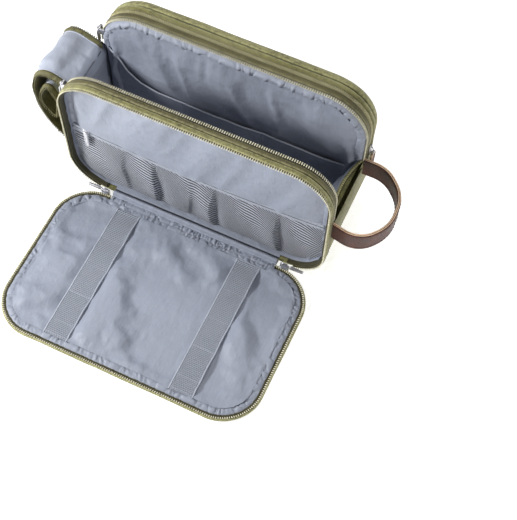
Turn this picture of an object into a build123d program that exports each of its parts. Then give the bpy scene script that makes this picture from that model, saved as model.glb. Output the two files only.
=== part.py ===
from build123d import *
import os
from math import cos, radians, sin

# A canvas toiletry bag that stands open.  X runs along its length, towards the end with the carrying strap,
# -Y is the front, where the flap lies folded down on the surface, and Z is up.
# The origin is the centre of the base, on the surface.  Sizes are in millimetres.

LENGTH = 252.0          # outside of the two end panels
BACK_HEIGHT = 161.0     # back half, floor to top
BACK_RADIUS = 42.0      # rounded upper and lower corners of the back half
FRONT_LOW = 3.5         # the front tray's frame stands this far off the surface
FRONT_HEIGHT = 152.5
FRONT_RADIUS = 38.0
SHEET = 2.0             # canvas with its backing
LINING = 0.8
ZIP_WALL = 3.0          # tape and teeth, measured inwards from the outside

# Depths along Y, from the back to the front
BACK_FACE = 56.0
BACK_PANEL_FRONT = 47.0
POCKET_ZIP = (36.0, 41.0)
REAR_TEETH = (28.0, 31.0)
MAIN_BACK = 27.0
MAIN_FRONT = -35.2
FRONT_TEETH = (-38.2, -35.2)
TRAY_BACK = -38.8
TRAY_FRONT = -48.2
RIM_FACE = -50.5

BAND_SEAM = 82.0        # height of the seam round the ends, where the base band meets the upper bands
LID_HINGE_Z = 118.0
RIGHT_END_Z = 91.0      # where the main zip stops on the strap end

FLAP_WIDTH = 252.0
FLAP_LENGTH = 157.0
FLAP_THICKNESS = 4.7
FLAP_EDGE = -53.3
HINGE_HALF = 82.0       # half of the sewn hinge between flap and bag

STRAP_X = 61.0          # elastic straps in the flap
STRAP_WIDTH = 23.5
STRAP_LENGTH = 132.0

LID_WIDTH = (-32.3, 25.2)
LID_THICKNESS = 2.0
LID_TRIM = 3.5          # each lid segment stops this far from its fold lines
# Fold lines of the closed lid, in X and Z: up the left end, over the top and down the strap end.
LID_CLOSED = [(-124.5, 118), (-113.5, 146.5), (-87, 157.5), (-43.5, 157.5), (0, 157.5),
              (43.5, 157.5), (87, 157.5), (113.5, 146.5), (124.5, 120), (124.5, 93)]
# Direction of each segment when the lid hangs rolled up at the left end, in degrees from +X towards +Z.
LID_OPEN = [158, 247, 275, 312, 450, 473, 602, 666, 802]

HANDLE_Z = (67.0, 89.0)
HANDLE_THICKNESS = 3.0
PATCH = (52.0, 14.0)
PATCH_Z = 34.0
SLIDER_LENGTH = 9.0
SLIDER_NOTCH = (82.0, 113.0)    # where the tray's lower corners make way for the flap's sliders
SLIDER_NOTCH_TOP = 16.0


def box(x, y, z):
    """A block between two limits along each axis."""
    sizes = (x[1] - x[0], y[1] - y[0], z[1] - z[0])
    middle = ((x[0] + x[1]) / 2, (y[0] + y[1]) / 2, (z[0] + z[1]) / 2)
    return Pos(*middle) * Box(*sizes)


def slab(width, height, radius, y, low=0.0):
    """An upright plate with rounded corners, between two depths."""
    face = Plane.XZ.offset(-y[1]) * Pos(0, low + height / 2) * RectangleRounded(width, height, radius)
    return extrude(face, amount=y[1] - y[0])


def back_slab(inset, y):
    """A plate with the outline of the back half, made smaller all round by the inset."""
    return slab(LENGTH - 2 * inset, BACK_HEIGHT - 2 * inset, BACK_RADIUS - inset, y, inset)


def front_slab(inset, y):
    """A plate with the outline of the front tray, made smaller all round by the inset."""
    return slab(LENGTH - 2 * inset, FRONT_HEIGHT - 2 * inset, FRONT_RADIUS - inset, y, FRONT_LOW + inset)


def ring(plate, outside, inside, y):
    """A closed band that follows an outline between two insets."""
    return plate(outside, y) - plate(inside, (y[0] - 1, y[1] + 1))


def above(shape, left_z, right_z):
    """What is left of a band above one height on the left and another on the right."""
    left = box((-200, 0), (-100, 100), (-50, left_z))
    right = box((0, 200), (-100, 100), (-50, right_z))
    return shape - left - right


def below(shape, z):
    return shape - box((-200, 200), (-100, 100), (z, 300))


def save(shape, name):
    export_step(shape, f"parts/{name}.step")


# Back half


def make_back_panel():
    """The canvas back rolls over its edges onto the sides, with foam and the rear pocket's lining inside it."""
    shell = back_slab(0, (BACK_PANEL_FRONT, BACK_FACE))
    far_edges = shell.edges().filter_by(lambda e: e.center().Y > BACK_FACE - 0.01)
    shell = fillet(far_edges, 8.0)
    core = back_slab(SHEET, (BACK_PANEL_FRONT - 1, BACK_FACE - SHEET))
    core_edges = core.edges().filter_by(lambda e: e.center().Y > BACK_FACE - SHEET - 0.01)
    save(shell - fillet(core_edges, 6.0), "back_canvas")
    save(back_slab(9.0, (49.0, BACK_FACE - SHEET)), "back_foam")
    save(back_slab(SHEET + 0.3, (47.5, 48.6)), "rear_pocket_lining")
    patch = slab(PATCH[0], PATCH[1], 3.0, (BACK_FACE, BACK_FACE + 1.6), PATCH_Z - PATCH[1] / 2)
    save(patch, "leather_patch")


def make_rear_bands():
    """Piping, two canvas strips with the rear pocket's zip between them, and the main zip's rear half."""
    save(ring(back_slab, 0, 2.5, (45.5, BACK_PANEL_FRONT)), "rear_piping")
    outer = ring(back_slab, 0, SHEET, (POCKET_ZIP[1], 45.5))
    save(above(outer, BAND_SEAM, BAND_SEAM), "rear_outer_strip")
    pocket_zip = ring(back_slab, 0, ZIP_WALL, POCKET_ZIP)
    save(above(pocket_zip, BAND_SEAM, BAND_SEAM), "rear_pocket_zip")
    inner = ring(back_slab, 0, SHEET, (REAR_TEETH[1], POCKET_ZIP[0]))
    save(above(inner, BAND_SEAM, BAND_SEAM), "rear_inner_strip")
    teeth = ring(back_slab, 0, ZIP_WALL, REAR_TEETH)
    save(above(teeth, LID_HINGE_Z, RIGHT_END_Z), "main_zip_rear_tape")


def make_base():
    """The canvas band under the bag and up both ends, the end panels above it, and the stiff board inside."""
    band = ring(back_slab, 0, SHEET, (FRONT_TEETH[1], 45.5))
    save(below(band, BAND_SEAM), "base_band")
    end = ring(back_slab, 0, SHEET, (FRONT_TEETH[1], REAR_TEETH[0]))
    end = end - box((-200, 200), (-100, 100), (-50, BAND_SEAM))
    save(below(end, LID_HINGE_Z - 2) - box((0, 200), (-100, 100), (0, 300)), "left_end_panel")
    save(below(end, RIGHT_END_Z) - box((-200, 0), (-100, 100), (0, 300)), "right_end_panel")
    half = LENGTH / 2 - BACK_RADIUS
    save(box((-half, half), (FRONT_TEETH[1], 45.5), (SHEET, SHEET + 2.0)), "base_board")


# Main compartment


def make_main_lining():
    """The wall between main compartment and rear pocket, the satin lining, and the slip pockets on its back."""
    save(back_slab(5.5, (MAIN_BACK + LINING + 0.2, MAIN_BACK + 2.2)), "rear_divider")
    save(back_slab(5.5, (MAIN_BACK, MAIN_BACK + LINING)), "lining_back")
    low = SHEET + 2.4
    sleeve = ring(back_slab, low, low + LINING, (MAIN_FRONT + 1.1, MAIN_BACK - 0.1))
    left = sleeve - box((0, 200), (-100, 100), (RIGHT_END_Z, 300))
    save(below(left, LID_HINGE_Z - 1), "lining_sleeve")
    pocket = back_slab(7.0, (MAIN_BACK - 1.4, MAIN_BACK - 0.2))
    save(below(pocket, 70.0), "slip_pockets")
    binding = back_slab(7.0, (MAIN_BACK - 2.2, MAIN_BACK - 0.2))
    binding = binding - box((-200, 200), (0, 100), (-50, 70.2))
    save(below(binding, 74.0), "slip_pocket_binding")


# Front tray


def make_front_tray():
    """The canvas frame of the front tray, its stiff back wall, and the two zips' halves along its edges."""
    notches = [box(sorted((side * SLIDER_NOTCH[0], side * SLIDER_NOTCH[1])),
                   (RIM_FACE - 1, TRAY_FRONT + 1.6), (0, SLIDER_NOTCH_TOP)) for side in (-1, 1)]
    frame = ring(front_slab, 0, SHEET, (TRAY_FRONT, FRONT_TEETH[0]))
    save(frame - notches[0] - notches[1], "front_frame")
    upper = ring(front_slab, 0, ZIP_WALL, FRONT_TEETH)
    save(above(upper, LID_HINGE_Z, RIGHT_END_Z), "main_zip_front_tape")
    foot = ring(front_slab, 0, SHEET, FRONT_TEETH)
    save(below(foot, RIGHT_END_Z), "front_foot_strip")
    save(front_slab(5.5, (-37.6, -36.3)), "divider_board")
    save(front_slab(5.5, (-36.1, MAIN_FRONT)), "lining_front")
    save(front_slab(5.5, (TRAY_BACK + 0.1, -37.8)), "tray_back_lining")
    rim = ring(front_slab, 0, ZIP_WALL, (RIM_FACE, TRAY_FRONT))
    hinge_gap = box((-HINGE_HALF, HINGE_HALF), (-100, 0), (-10, 20))
    save(rim - hinge_gap - notches[0] - notches[1], "flap_zip_rim_tape")
    strip = box((-HINGE_HALF + 0.5, HINGE_HALF - 0.5), (-52.6, TRAY_FRONT), (1.0, 6.0))
    save(strip, "flap_hinge_strip")


def make_tray_pockets():
    """Behind the flap: a plain lining panel, a zip across it, and a mesh pocket below the zip."""
    y = (TRAY_BACK - 1.4, TRAY_BACK - 0.5)
    panel = front_slab(6.5, y)
    save(panel - box((-200, 200), (-100, 100), (-10, 84.5)), "tray_upper_lining")
    save(below(panel, 76.0), "mesh_pocket")
    save(box((-119.0, 119.0), (TRAY_BACK - 1.9, TRAY_BACK - 0.3), (76.5, 84.0)), "mesh_pocket_zip")


# Flap


def flap_plate(inset, z):
    """A flat plate with the flap's outline, lying on the surface in front of the bag."""
    width = FLAP_WIDTH - 2 * inset
    length = FLAP_LENGTH - 2 * inset
    middle = FLAP_EDGE - FLAP_LENGTH / 2
    face = Plane.XY.offset(z[0]) * Pos(0, middle) * RectangleRounded(width, length, FRONT_RADIUS - inset)
    return extrude(face, amount=z[1] - z[0])


def make_flap():
    """Canvas outside, foam and satin lining inside, a gathered hem, the zip round the edge and two straps."""
    save(flap_plate(0, (0.0, 1.8)), "flap_canvas")
    save(flap_plate(4.5, (1.9, 2.9)), "flap_foam")
    save(flap_plate(4.5, (3.0, 3.8)), "flap_lining")
    hem = flap_plate(4.5, (3.9, FLAP_THICKNESS)) - flap_plate(12.0, (3.0, 6.0))
    save(hem, "flap_hem")
    teeth = flap_plate(0, (1.9, FLAP_THICKNESS)) - flap_plate(ZIP_WALL + 1, (1.0, 6.0))
    hinge_gap = box((-HINGE_HALF, HINGE_HALF), (FLAP_EDGE - 10, FLAP_EDGE + 1), (1, 6))
    save(teeth - hinge_gap, "flap_zip_tape")
    far = FLAP_EDGE - 13.5 - STRAP_LENGTH
    for side, name in ((-1, "elastic_strap_left"), (1, "elastic_strap_right")):
        x = (side * STRAP_X - STRAP_WIDTH / 2, side * STRAP_X + STRAP_WIDTH / 2)
        save(box(x, (far, FLAP_EDGE - 13.5), (FLAP_THICKNESS + 0.1, 6.0)), name)


# Lid over the main compartment


def make_lid():
    """The lid's canvas and lining, sewn to the left end, as nine segments between fold lines."""
    x, z = LID_CLOSED[0]
    fold_lines = list(zip(LID_CLOSED, LID_CLOSED[1:]))
    for number, ((start, end), turn) in enumerate(zip(fold_lines, LID_OPEN), 1):
        length = ((end[0] - start[0]) ** 2 + (end[1] - start[1]) ** 2) ** 0.5
        begin = 0.6 if number == 1 else LID_TRIM
        plate = box((begin, length - LID_TRIM), LID_WIDTH, (-LID_THICKNESS / 2, LID_THICKNESS / 2))
        save(Pos(x, 0, z) * Rot(0, -turn, 0) * plate, f"lid_panel_{number}")
        x += length * cos(radians(turn))
        z += length * sin(radians(turn))


# Strap and sliders


def make_handle():
    """A leather strap that stands out from the right-hand end as a loop, its width upright."""
    points = [(120, 33), (148, 33), (170, 12), (172, -20), (152, -45), (120, -39)]
    radii = [8, 30, 34, 34, 26, 8]
    outer = make_face(FilletPolyline(*points, radius=radii, close=True).edges())
    strap = extrude(outer - offset(outer, amount=-HANDLE_THICKNESS), amount=HANDLE_Z[1] - HANDLE_Z[0])
    strap = Pos(0, 0, HANDLE_Z[0]) * strap
    save(strap - box((0, LENGTH / 2 + 0.3), (-100, 100), (0, 200)), "handle")


def slider(plate, y, bridge, mark):
    """A slider that wraps a zip's edge: a plate outside the tape, one inside it, and the bridge between."""
    outer = ring(plate, -1.8, -0.4, y)
    inner = ring(plate, ZIP_WALL + 0.4, ZIP_WALL + 1.6, (y[0], y[1]))
    middle = ring(plate, -1.8, ZIP_WALL + 1.6, bridge)
    return (outer + inner + middle) & mark


def make_main_sliders():
    """One slider on each half of the main zip, at the left end, with a hanging tab."""
    mark = box((-140, -100), (-60, 60), (126, 126 + SLIDER_LENGTH))
    rear = slider(back_slab, (26.0, 32.5), (26.0, 27.6), mark)
    front = slider(front_slab, (-39.5, -33.0), (-34.8, -33.0), mark)
    save(rear, "main_slider_rear")
    save(front, "main_slider_front")
    for name, y in (("main_slider_rear_pull", (27.6, 31.6)), ("main_slider_front_pull", (-38.8, -34.8))):
        save(box((-129.9, -128.7), y, (113.5, 127.5)), name)


def make_flap_sliders():
    """One slider each side of the flap's hinge, standing on the flap's edge, with a tab beside it."""
    for side, name in ((-1, "left"), (1, "right")):
        near, far = side * 87.0, side * (87.0 + SLIDER_LENGTH)
        plate = box(sorted((near, far)), (-52.6, -51.2), (0.4, 8.0))
        save(plate, f"flap_slider_{name}")
        tip = side * 110.0
        save(box(sorted((far + side * 0.3, tip)), (-52.4, -51.3), (4.9, 7.6)), f"flap_slider_{name}_pull")


def make_pocket_sliders():
    """The rear pocket's slider with its leather pull, and the mesh pocket's slider with its tab."""
    x = LENGTH / 2 + 0.4
    save(box((x, x + 2.6), (35.5, 41.5), (92.0, 101.0)), "rear_pocket_slider")
    save(box((x + 2.9, x + 5.1), (34.2, 42.8), (60.0, 95.0)), "rear_pocket_pull")
    y = TRAY_BACK - 2.2
    save(box((-111.5, -104.0), (y - 2.0, y), (76.0, 84.5)), "mesh_zip_slider")
    save(box((-109.5, -106.0), (y - 3.3, y - 2.3), (60.0, 79.0)), "mesh_zip_pull")


def main():
    os.makedirs("parts", exist_ok=True)
    make_back_panel()
    make_rear_bands()
    make_base()
    make_main_lining()
    make_front_tray()
    make_tray_pockets()
    make_flap()
    make_lid()
    make_handle()
    make_main_sliders()
    make_flap_sliders()
    make_pocket_sliders()


main()
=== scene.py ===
import math

import bmesh
import bpy
import numpy as np
from mathutils import Matrix, Vector


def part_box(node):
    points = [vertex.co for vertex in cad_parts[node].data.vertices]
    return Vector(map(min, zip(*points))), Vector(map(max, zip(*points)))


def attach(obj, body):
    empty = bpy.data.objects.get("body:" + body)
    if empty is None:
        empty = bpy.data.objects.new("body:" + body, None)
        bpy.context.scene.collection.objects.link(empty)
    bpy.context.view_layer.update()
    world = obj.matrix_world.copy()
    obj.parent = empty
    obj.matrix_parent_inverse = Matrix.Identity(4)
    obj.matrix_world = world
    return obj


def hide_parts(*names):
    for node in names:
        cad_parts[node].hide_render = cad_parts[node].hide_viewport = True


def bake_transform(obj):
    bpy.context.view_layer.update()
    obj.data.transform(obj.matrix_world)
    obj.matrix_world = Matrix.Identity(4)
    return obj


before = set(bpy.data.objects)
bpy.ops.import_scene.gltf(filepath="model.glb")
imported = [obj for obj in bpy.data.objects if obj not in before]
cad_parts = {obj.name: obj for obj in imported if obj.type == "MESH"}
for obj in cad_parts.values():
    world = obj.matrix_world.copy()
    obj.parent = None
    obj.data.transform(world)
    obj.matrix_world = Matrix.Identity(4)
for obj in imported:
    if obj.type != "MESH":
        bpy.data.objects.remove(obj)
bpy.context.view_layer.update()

# The looks of a canvas toiletry bag that stands open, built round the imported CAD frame.
# Shapes are worked out in millimetres and turned into metres where a mesh is made.
# A point of an outline is (across, up) in its own plane; upright() and lying() place it in the frame.

BACK = (252.0, 161.0, 42.0, 0.0)        # width, height, corner radius and lowest edge of the back half
FRONT = (252.0, 152.5, 38.0, 3.5)       # the same for the front tray
FLAP = (252.0, 157.0, 38.0, -210.3)     # the same for the flap, which lies flat: its up is +Y
BAND_SEAM = 82.0        # height of the seam between the gusset and the end panels
HINGE_LEFT = 118.0      # height of the left end panel's top, where the lid starts
RIGHT_END = 91.0        # height of the right end panel's top
HINGE_HALF = 82.0       # half the length of the flap's hinge
FLAP_TOP = -53.3        # the flap's edge beside the hinge
STRAP_MIDDLE = 61.0     # how far each elastic strap is from the middle
STRAP_ROWS = (-66.8, -96.0, -126.0, -156.0, -186.0, -198.8)     # where the straps are sewn down
TOOTH_PITCH = 2.05
MM = 0.001              # metres in a millimetre


# ---------------------------------------------------------------- outlines


class Path:
    """A line in a plane that can be asked for its place and outward direction at any length along it."""

    def __init__(self, points, normals):
        self.points = np.array(points, float)
        self.normals = np.array(normals, float)
        self.along = steps_along(self.points)
        self.length = self.along[-1]

    def at(self, s):
        """The places and outward directions at some lengths."""
        point, normal = (each_column(s, self.along, values) for values in (self.points, self.normals))
        return point, normal / np.linalg.norm(normal, axis=-1, keepdims=True)

    def where(self, keep):
        """The first and last length at which keep(across, up) holds."""
        kept = self.along[keep(self.points[:, 0], self.points[:, 1])]
        return kept[0], kept[-1]


def rounded(width, height, radius, low):
    """A rounded rectangle from its lowest middle round by the right."""
    half = width / 2 - radius
    centres = [(half, low + radius), (half, low + height - radius),
               (-half, low + height - radius), (-half, low + radius)]
    points, normals = [(0.0, low)], [(0.0, -1.0)]
    for quarter, (x, z) in enumerate(centres):
        for turn in np.linspace(quarter * 90 - 90, quarter * 90, 46):
            out = (math.cos(math.radians(turn)), math.sin(math.radians(turn)))
            points.append((x + radius * out[0], z + radius * out[1]))
            normals.append(out)
    points.append((0.0, low))
    normals.append((0.0, -1.0))
    fine = Path(points, normals)
    s = np.linspace(0, fine.length, int(fine.length / 0.5))
    return Path(*fine.at(s))


def filleted(corners, radii):
    """An open line through some corners, each rounded off, with its normals on the right-hand side."""
    corners = [np.array(c, float) for c in corners]
    points = [corners[0]]
    for before, corner, after, radius in zip(corners, corners[1:], corners[2:], radii):
        a = (before - corner) / np.linalg.norm(before - corner)
        b = (after - corner) / np.linalg.norm(after - corner)
        half = math.acos(float(np.clip(a @ b, -1, 1))) / 2
        centre = corner + (a + b) / np.linalg.norm(a + b) * radius / math.sin(half)
        first, last = (corner + way * radius / math.tan(half) - centre for way in (a, b))
        swing = math.pi - 2 * half
        for t in np.linspace(0, 1, 24):
            blend = math.sin((1 - t) * swing) * first + math.sin(t * swing) * last
            points.append(centre + blend / math.sin(swing))
    points.append(corners[-1])
    return smooth_path(points)


def smooth_path(points, step=0.5):
    """A path through points, evenly spaced, whose normals are on its right-hand side."""
    points = np.array(points, float)
    along = steps_along(points)
    s = np.linspace(0, along[-1], max(3, int(along[-1] / step)))
    even = each_column(s, along, points)
    way = np.gradient(even, axis=0)
    way /= np.linalg.norm(way, axis=1, keepdims=True)
    return Path(even, np.stack([way[:, 1], -way[:, 0]], -1))


def spots(x, y, z):
    """Points of the frame; any coordinate may be one value for all of them."""
    return np.stack(np.broadcast_arrays(x, y, z), -1)


def steps_along(points):
    """How far each point of a line is from its first, measured along the line."""
    return np.concatenate([[0.0], np.cumsum(np.linalg.norm(np.diff(points, axis=0), axis=1))])


def each_column(s, along, values):
    """Every column of some values, read at lengths s."""
    return np.stack([np.interp(s, along, column) for column in values.T], -1)


def upright(across, up, depth):
    """The bag's outlines stand in planes of constant Y."""
    return spots(across, depth, up)


def lying(across, up, depth):
    """The flap's outlines lie in planes of constant Z."""
    return spots(across, up, depth)


def edge_heights(shape, x, inset=0.0):
    """The lowest and highest point of a rounded rectangle at each place across it."""
    width, height, radius, low = shape
    radius = radius - inset
    over = np.clip(np.abs(x) - (width / 2 - inset - radius), 0, radius)
    rise = radius - np.sqrt(np.maximum(radius ** 2 - over ** 2, 0))
    return low + inset + rise, low + height - inset - rise


def columns(shape, inset, step=3.0):
    """Places across a rounded rectangle, closer together where its corners curve."""
    width, _, radius, _ = shape
    radius = radius - inset
    half = width / 2 - inset - radius
    corner = half + radius * np.sin(np.radians(np.linspace(0, 90, 16)))
    middle = np.linspace(-half, half, int(2 * half / step) + 1)
    return np.concatenate([-corner[:0:-1], middle, corner[1:]])


def noise(a, b, size, seed):
    """Smooth random values from -1 to 1 over a plane, with bumps of about one size."""
    size_of_table = 97
    table = np.random.default_rng(seed).random((size_of_table, size_of_table)) * 2 - 1
    a, b = np.broadcast_arrays(np.asarray(a, float) / size, np.asarray(b, float) / size)
    i, j = np.floor(a).astype(int), np.floor(b).astype(int)
    f, g = a - i, b - j
    f, g = f * f * (3 - 2 * f), g * g * (3 - 2 * g)
    i, j, k, m = (index % size_of_table for index in (i, j, i + 1, j + 1))
    low = table[i, j] * (1 - f) + table[k, j] * f
    high = table[i, m] * (1 - f) + table[k, m] * f
    return low * (1 - g) + high * g


# ---------------------------------------------------------------- meshes


class Part:
    """Collects patches of mesh in millimetres and makes one object of them."""

    def __init__(self):
        self.verts, self.faces, self.uvs, self.kinds, self.wear = [], [], [], [], []
        self.count = 0

    def add(self, verts, faces, uvs=None, kind=0, wear=None):
        """Adds a patch. kind is the place of its material, one for all its faces or a list of them."""
        verts = np.asarray(verts, float).reshape(-1, 3)
        if uvs is None:
            uvs = [[(verts[k][0] + verts[k][1], verts[k][2]) for k in face] for face in faces]
        self.verts.append(verts)
        self.faces.extend([tuple(k + self.count for k in face) for face in faces])
        self.uvs.extend(corner for face in uvs for corner in face)
        self.kinds.extend([kind] * len(faces) if isinstance(kind, int) else kind)
        self.wear.append(np.zeros(len(verts)) if wear is None else np.asarray(wear, float).ravel())
        self.count += len(verts)

    def make(self, name, *materials):
        """The object, in metres, with its texture places and the wear of each point."""
        mesh = bpy.data.meshes.new(name)
        mesh.from_pydata(np.concatenate(self.verts) * MM, [], self.faces)
        layer = mesh.uv_layers.new(name="Weave")
        layer.data.foreach_set("uv", (np.array(self.uvs, float) * MM).ravel())
        worn = mesh.attributes.new("wear", "FLOAT", "POINT")
        worn.data.foreach_set("value", np.concatenate(self.wear).astype(np.float32))
        for material in materials:
            mesh.materials.append(material)
        mesh.polygons.foreach_set("material_index", self.kinds)
        mesh.polygons.foreach_set("use_smooth", [True] * len(self.faces))
        mesh.validate()
        mesh.update()
        return placed(name, mesh)


def placed(name, data):
    """An object in the scene that holds some data."""
    obj = bpy.data.objects.new(name, data)
    bpy.context.scene.collection.objects.link(obj)
    return obj


def grid(points, u, v, round_section=False):
    """Faces and texture places of a lattice of points, whose sections may close on themselves."""
    rows, cols = points.shape[:2]
    faces, uvs = [], []
    wide = cols if round_section else cols - 1
    for i in range(rows - 1):
        for j in range(wide):
            k = (j + 1) % cols
            faces.append((i * cols + j, i * cols + k, (i + 1) * cols + k, (i + 1) * cols + j))
            uvs.append(((u[i], v[j]), (u[i], v[j + 1]), (u[i + 1], v[j + 1]), (u[i + 1], v[j])))
    return faces, uvs


def add_lattice(part, points, u, v, kind=0):
    """Adds an open lattice of points. kind may list the materials of one row of its faces."""
    faces, uvs = grid(points, u, v)
    part.add(points, faces, uvs, kind if isinstance(kind, int) else kind * (len(u) - 1))


def sweep(part, path, profile, plane=upright, span=None, step=2.0, shift=None, kind=0, closed=True,
          wear=None):
    """Runs a section of (inwards, depth) points along a path; shift(s, section) may move them."""
    profile = np.array(profile, float)
    start, end = span or (0.0, path.length)
    s = np.linspace(start, end, max(3, int((end - start) / step) + 1))
    place, out = path.at(s)
    inwards = np.broadcast_to(profile[:, 0], (len(s), len(profile)))
    depth = np.broadcast_to(profile[:, 1], inwards.shape)
    if shift:
        move = shift(s[:, None], profile)
        inwards, depth = inwards + move[0], depth + move[1]
    across = place[:, :1] - inwards * out[:, :1]
    up = place[:, 1:] - inwards * out[:, 1:]
    points = plane(across, up, depth)
    v = steps_along(np.concatenate([profile, profile[:1]]) if closed else profile)
    faces, uvs = grid(points, s, v, closed)
    kinds = [kind] * len(faces) if isinstance(kind, int) else list(kind) * (len(s) - 1)
    if closed:
        size = len(profile)
        for first in (0, (len(s) - 1) * size):
            faces.append(tuple(range(first, first + size)))
            uvs.append([tuple(p) for p in profile])
            kinds.append(kinds[0])
    worn = None if wear is None else np.broadcast_to(wear, (len(s), len(profile)))
    part.add(points, faces, uvs, kinds, worn)


def section(inner, outer, low, high, radius=0.5, crown=0.0, count=7):
    """A closed section with rounded corners between two insets and two depths, its outer face crowned."""
    corners = [(outer + radius, low + radius, 180), (outer + radius, high - radius, 90),
               (inner - radius, high - radius, 0), (inner - radius, low + radius, -90)]
    points = []
    for d, y, first in corners:
        for turn in np.linspace(first + 90, first, 4):
            a = math.radians(turn)
            points.append((d + radius * math.cos(a), y + radius * math.sin(a)))
        if first == 180:
            flat = high - low - 2 * radius
            for t in np.linspace(0, 1, count + 2)[1:-1]:
                points.append((outer - crown * math.sin(math.pi * t), low + radius + t * flat))
    return np.array(points)


def circle(inset, depth, radius, count, depth_radius=None):
    """A round section of count - 1 points about one place, or an oval one."""
    turns = np.linspace(0, 2 * math.pi, count)[:-1]
    return [(inset + radius * math.cos(a), depth + (depth_radius or radius) * math.sin(a)) for a in turns]


def level(depth):
    """The height of a flat sheet, for panel()."""
    return lambda across, up: np.full(across.shape, depth)


def panel(part, shape, inset, height, plane=upright, low=None, high=None, rows=40, step=3.0):
    """A sheet over a rounded rectangle, or between two lines across it; height(across, up) is its depth."""
    x = columns(shape, inset, step)
    bottom, top = edge_heights(shape, x, inset)
    if low is not None:
        bottom = np.maximum(bottom, low(x))
    if high is not None:
        top = np.minimum(top, high(x))
    t = np.linspace(0, 1, rows)
    up = bottom[:, None] + (top - bottom)[:, None] * t[None, :]
    across = np.broadcast_to(x[:, None], up.shape)
    points = plane(across, up, height(across, up))
    faces, _ = grid(points, x, t)
    flat = np.stack([across, up], -1).reshape(-1, 2)
    uvs = [[tuple(flat[k]) for k in face] for face in faces]
    part.add(points, faces, uvs)


def capsule(length, radius, sides=8):
    """A rounded pin along X, for one tooth or one stitch."""
    half = length / 2 - radius
    rings = [(-half - radius, 0.02), (-half - 0.7 * radius, 0.7), (-half, 1.0), (half, 1.0),
             (half + 0.7 * radius, 0.7), (half + radius, 0.02)]
    turn = np.linspace(0, 2 * math.pi, sides, endpoint=False)
    points = np.array([[(x, radius * r * math.cos(a), radius * r * math.sin(a)) for a in turn]
                       for x, r in rings])
    faces, _ = grid(points, range(6), range(sides + 1), True)
    return points.reshape(-1, 3), faces


def scatter(part, template, centres, along, up, kind=0):
    """Copies a small shape to each centre, with its X along one direction and its Z near another."""
    verts, faces = template
    along = np.asarray(along, float)
    along = along / np.linalg.norm(along, axis=-1, keepdims=True)
    side = np.cross(up, along)
    side = side / np.linalg.norm(side, axis=-1, keepdims=True)
    third = np.cross(along, side)
    for c, a, b, d in zip(centres, along, side, third):
        part.add(c + verts @ np.array([a, b, d]), faces, [[(0.0, 0.0)] * len(f) for f in faces], kind)


def solid(points, plane, out):
    """A direction (outwards, depth) beside a path, in the frame."""
    return plane(points[:, 0] * out[0], points[:, 1] * out[0], np.full(len(points), out[1]))


def teeth(part, path, inset, depth, lean, plane=upright, span=None, length=3.0, radius=0.5,
          pitch=TOOTH_PITCH, slant=0.0, start=0.0):
    """A row of zip teeth beside a path, in the part's second material; lean is (outwards, depth)."""
    first, last = span or (0.0, path.length)
    s = np.arange(first + start, last, pitch)
    place, out = path.at(s)
    centres = plane(place[:, 0] - inset * out[:, 0], place[:, 1] - inset * out[:, 1], depth)
    along = solid(out, plane, lean)
    way = plane(-out[:, 1], out[:, 0], np.zeros(len(s)))
    along = along + way * slant
    scatter(part, capsule(length, radius), centres, along, np.cross(along, way), 1)


def stitches(part, line, up, pitch=3.2, length=2.3, radius=0.27, kind=0):
    """A row of stitches along a line of points in the frame; up is the cloth's outward direction."""
    line = np.asarray(line, float)
    along = steps_along(line)
    s = np.arange(pitch / 2, along[-1], pitch)
    centres, ahead, behind = (each_column(s + move, along, line) for move in (0, 0.5, -0.5))
    if np.ndim(up) == 1:
        up = np.broadcast_to(np.asarray(up, float), (len(s), 3))
    else:
        up = each_column(s, along, up)
    scatter(part, capsule(length, radius, 6), centres, ahead - behind, up, kind)


def beside(path, inset, depth, span=None, plane=upright, step=1.0):
    """Points of the frame beside a path, and the outward direction there."""
    start, end = span or (0.0, path.length)
    s = np.linspace(start, end, max(3, int((end - start) / step)))
    place, out = path.at(s)
    line = plane(place[:, 0] - inset * out[:, 0], place[:, 1] - inset * out[:, 1], depth)
    return line, solid(out, plane, (1.0, 0.0))


def finish(obj, body, slot, *nodes):
    """A piece that rides on one body and stands for some CAD nodes, which it hides; slot is not used."""
    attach(obj, body)
    if nodes:
        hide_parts(*nodes)
    return obj


# ---------------------------------------------------------------- materials


def colour(red, green, blue):
    """A colour written in screen values from 0 to 255."""
    def linear(c):
        c /= 255
        return c / 12.92 if c <= 0.04045 else ((c + 0.055) / 1.055) ** 2.4
    return (linear(red), linear(green), linear(blue), 1.0)


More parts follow.
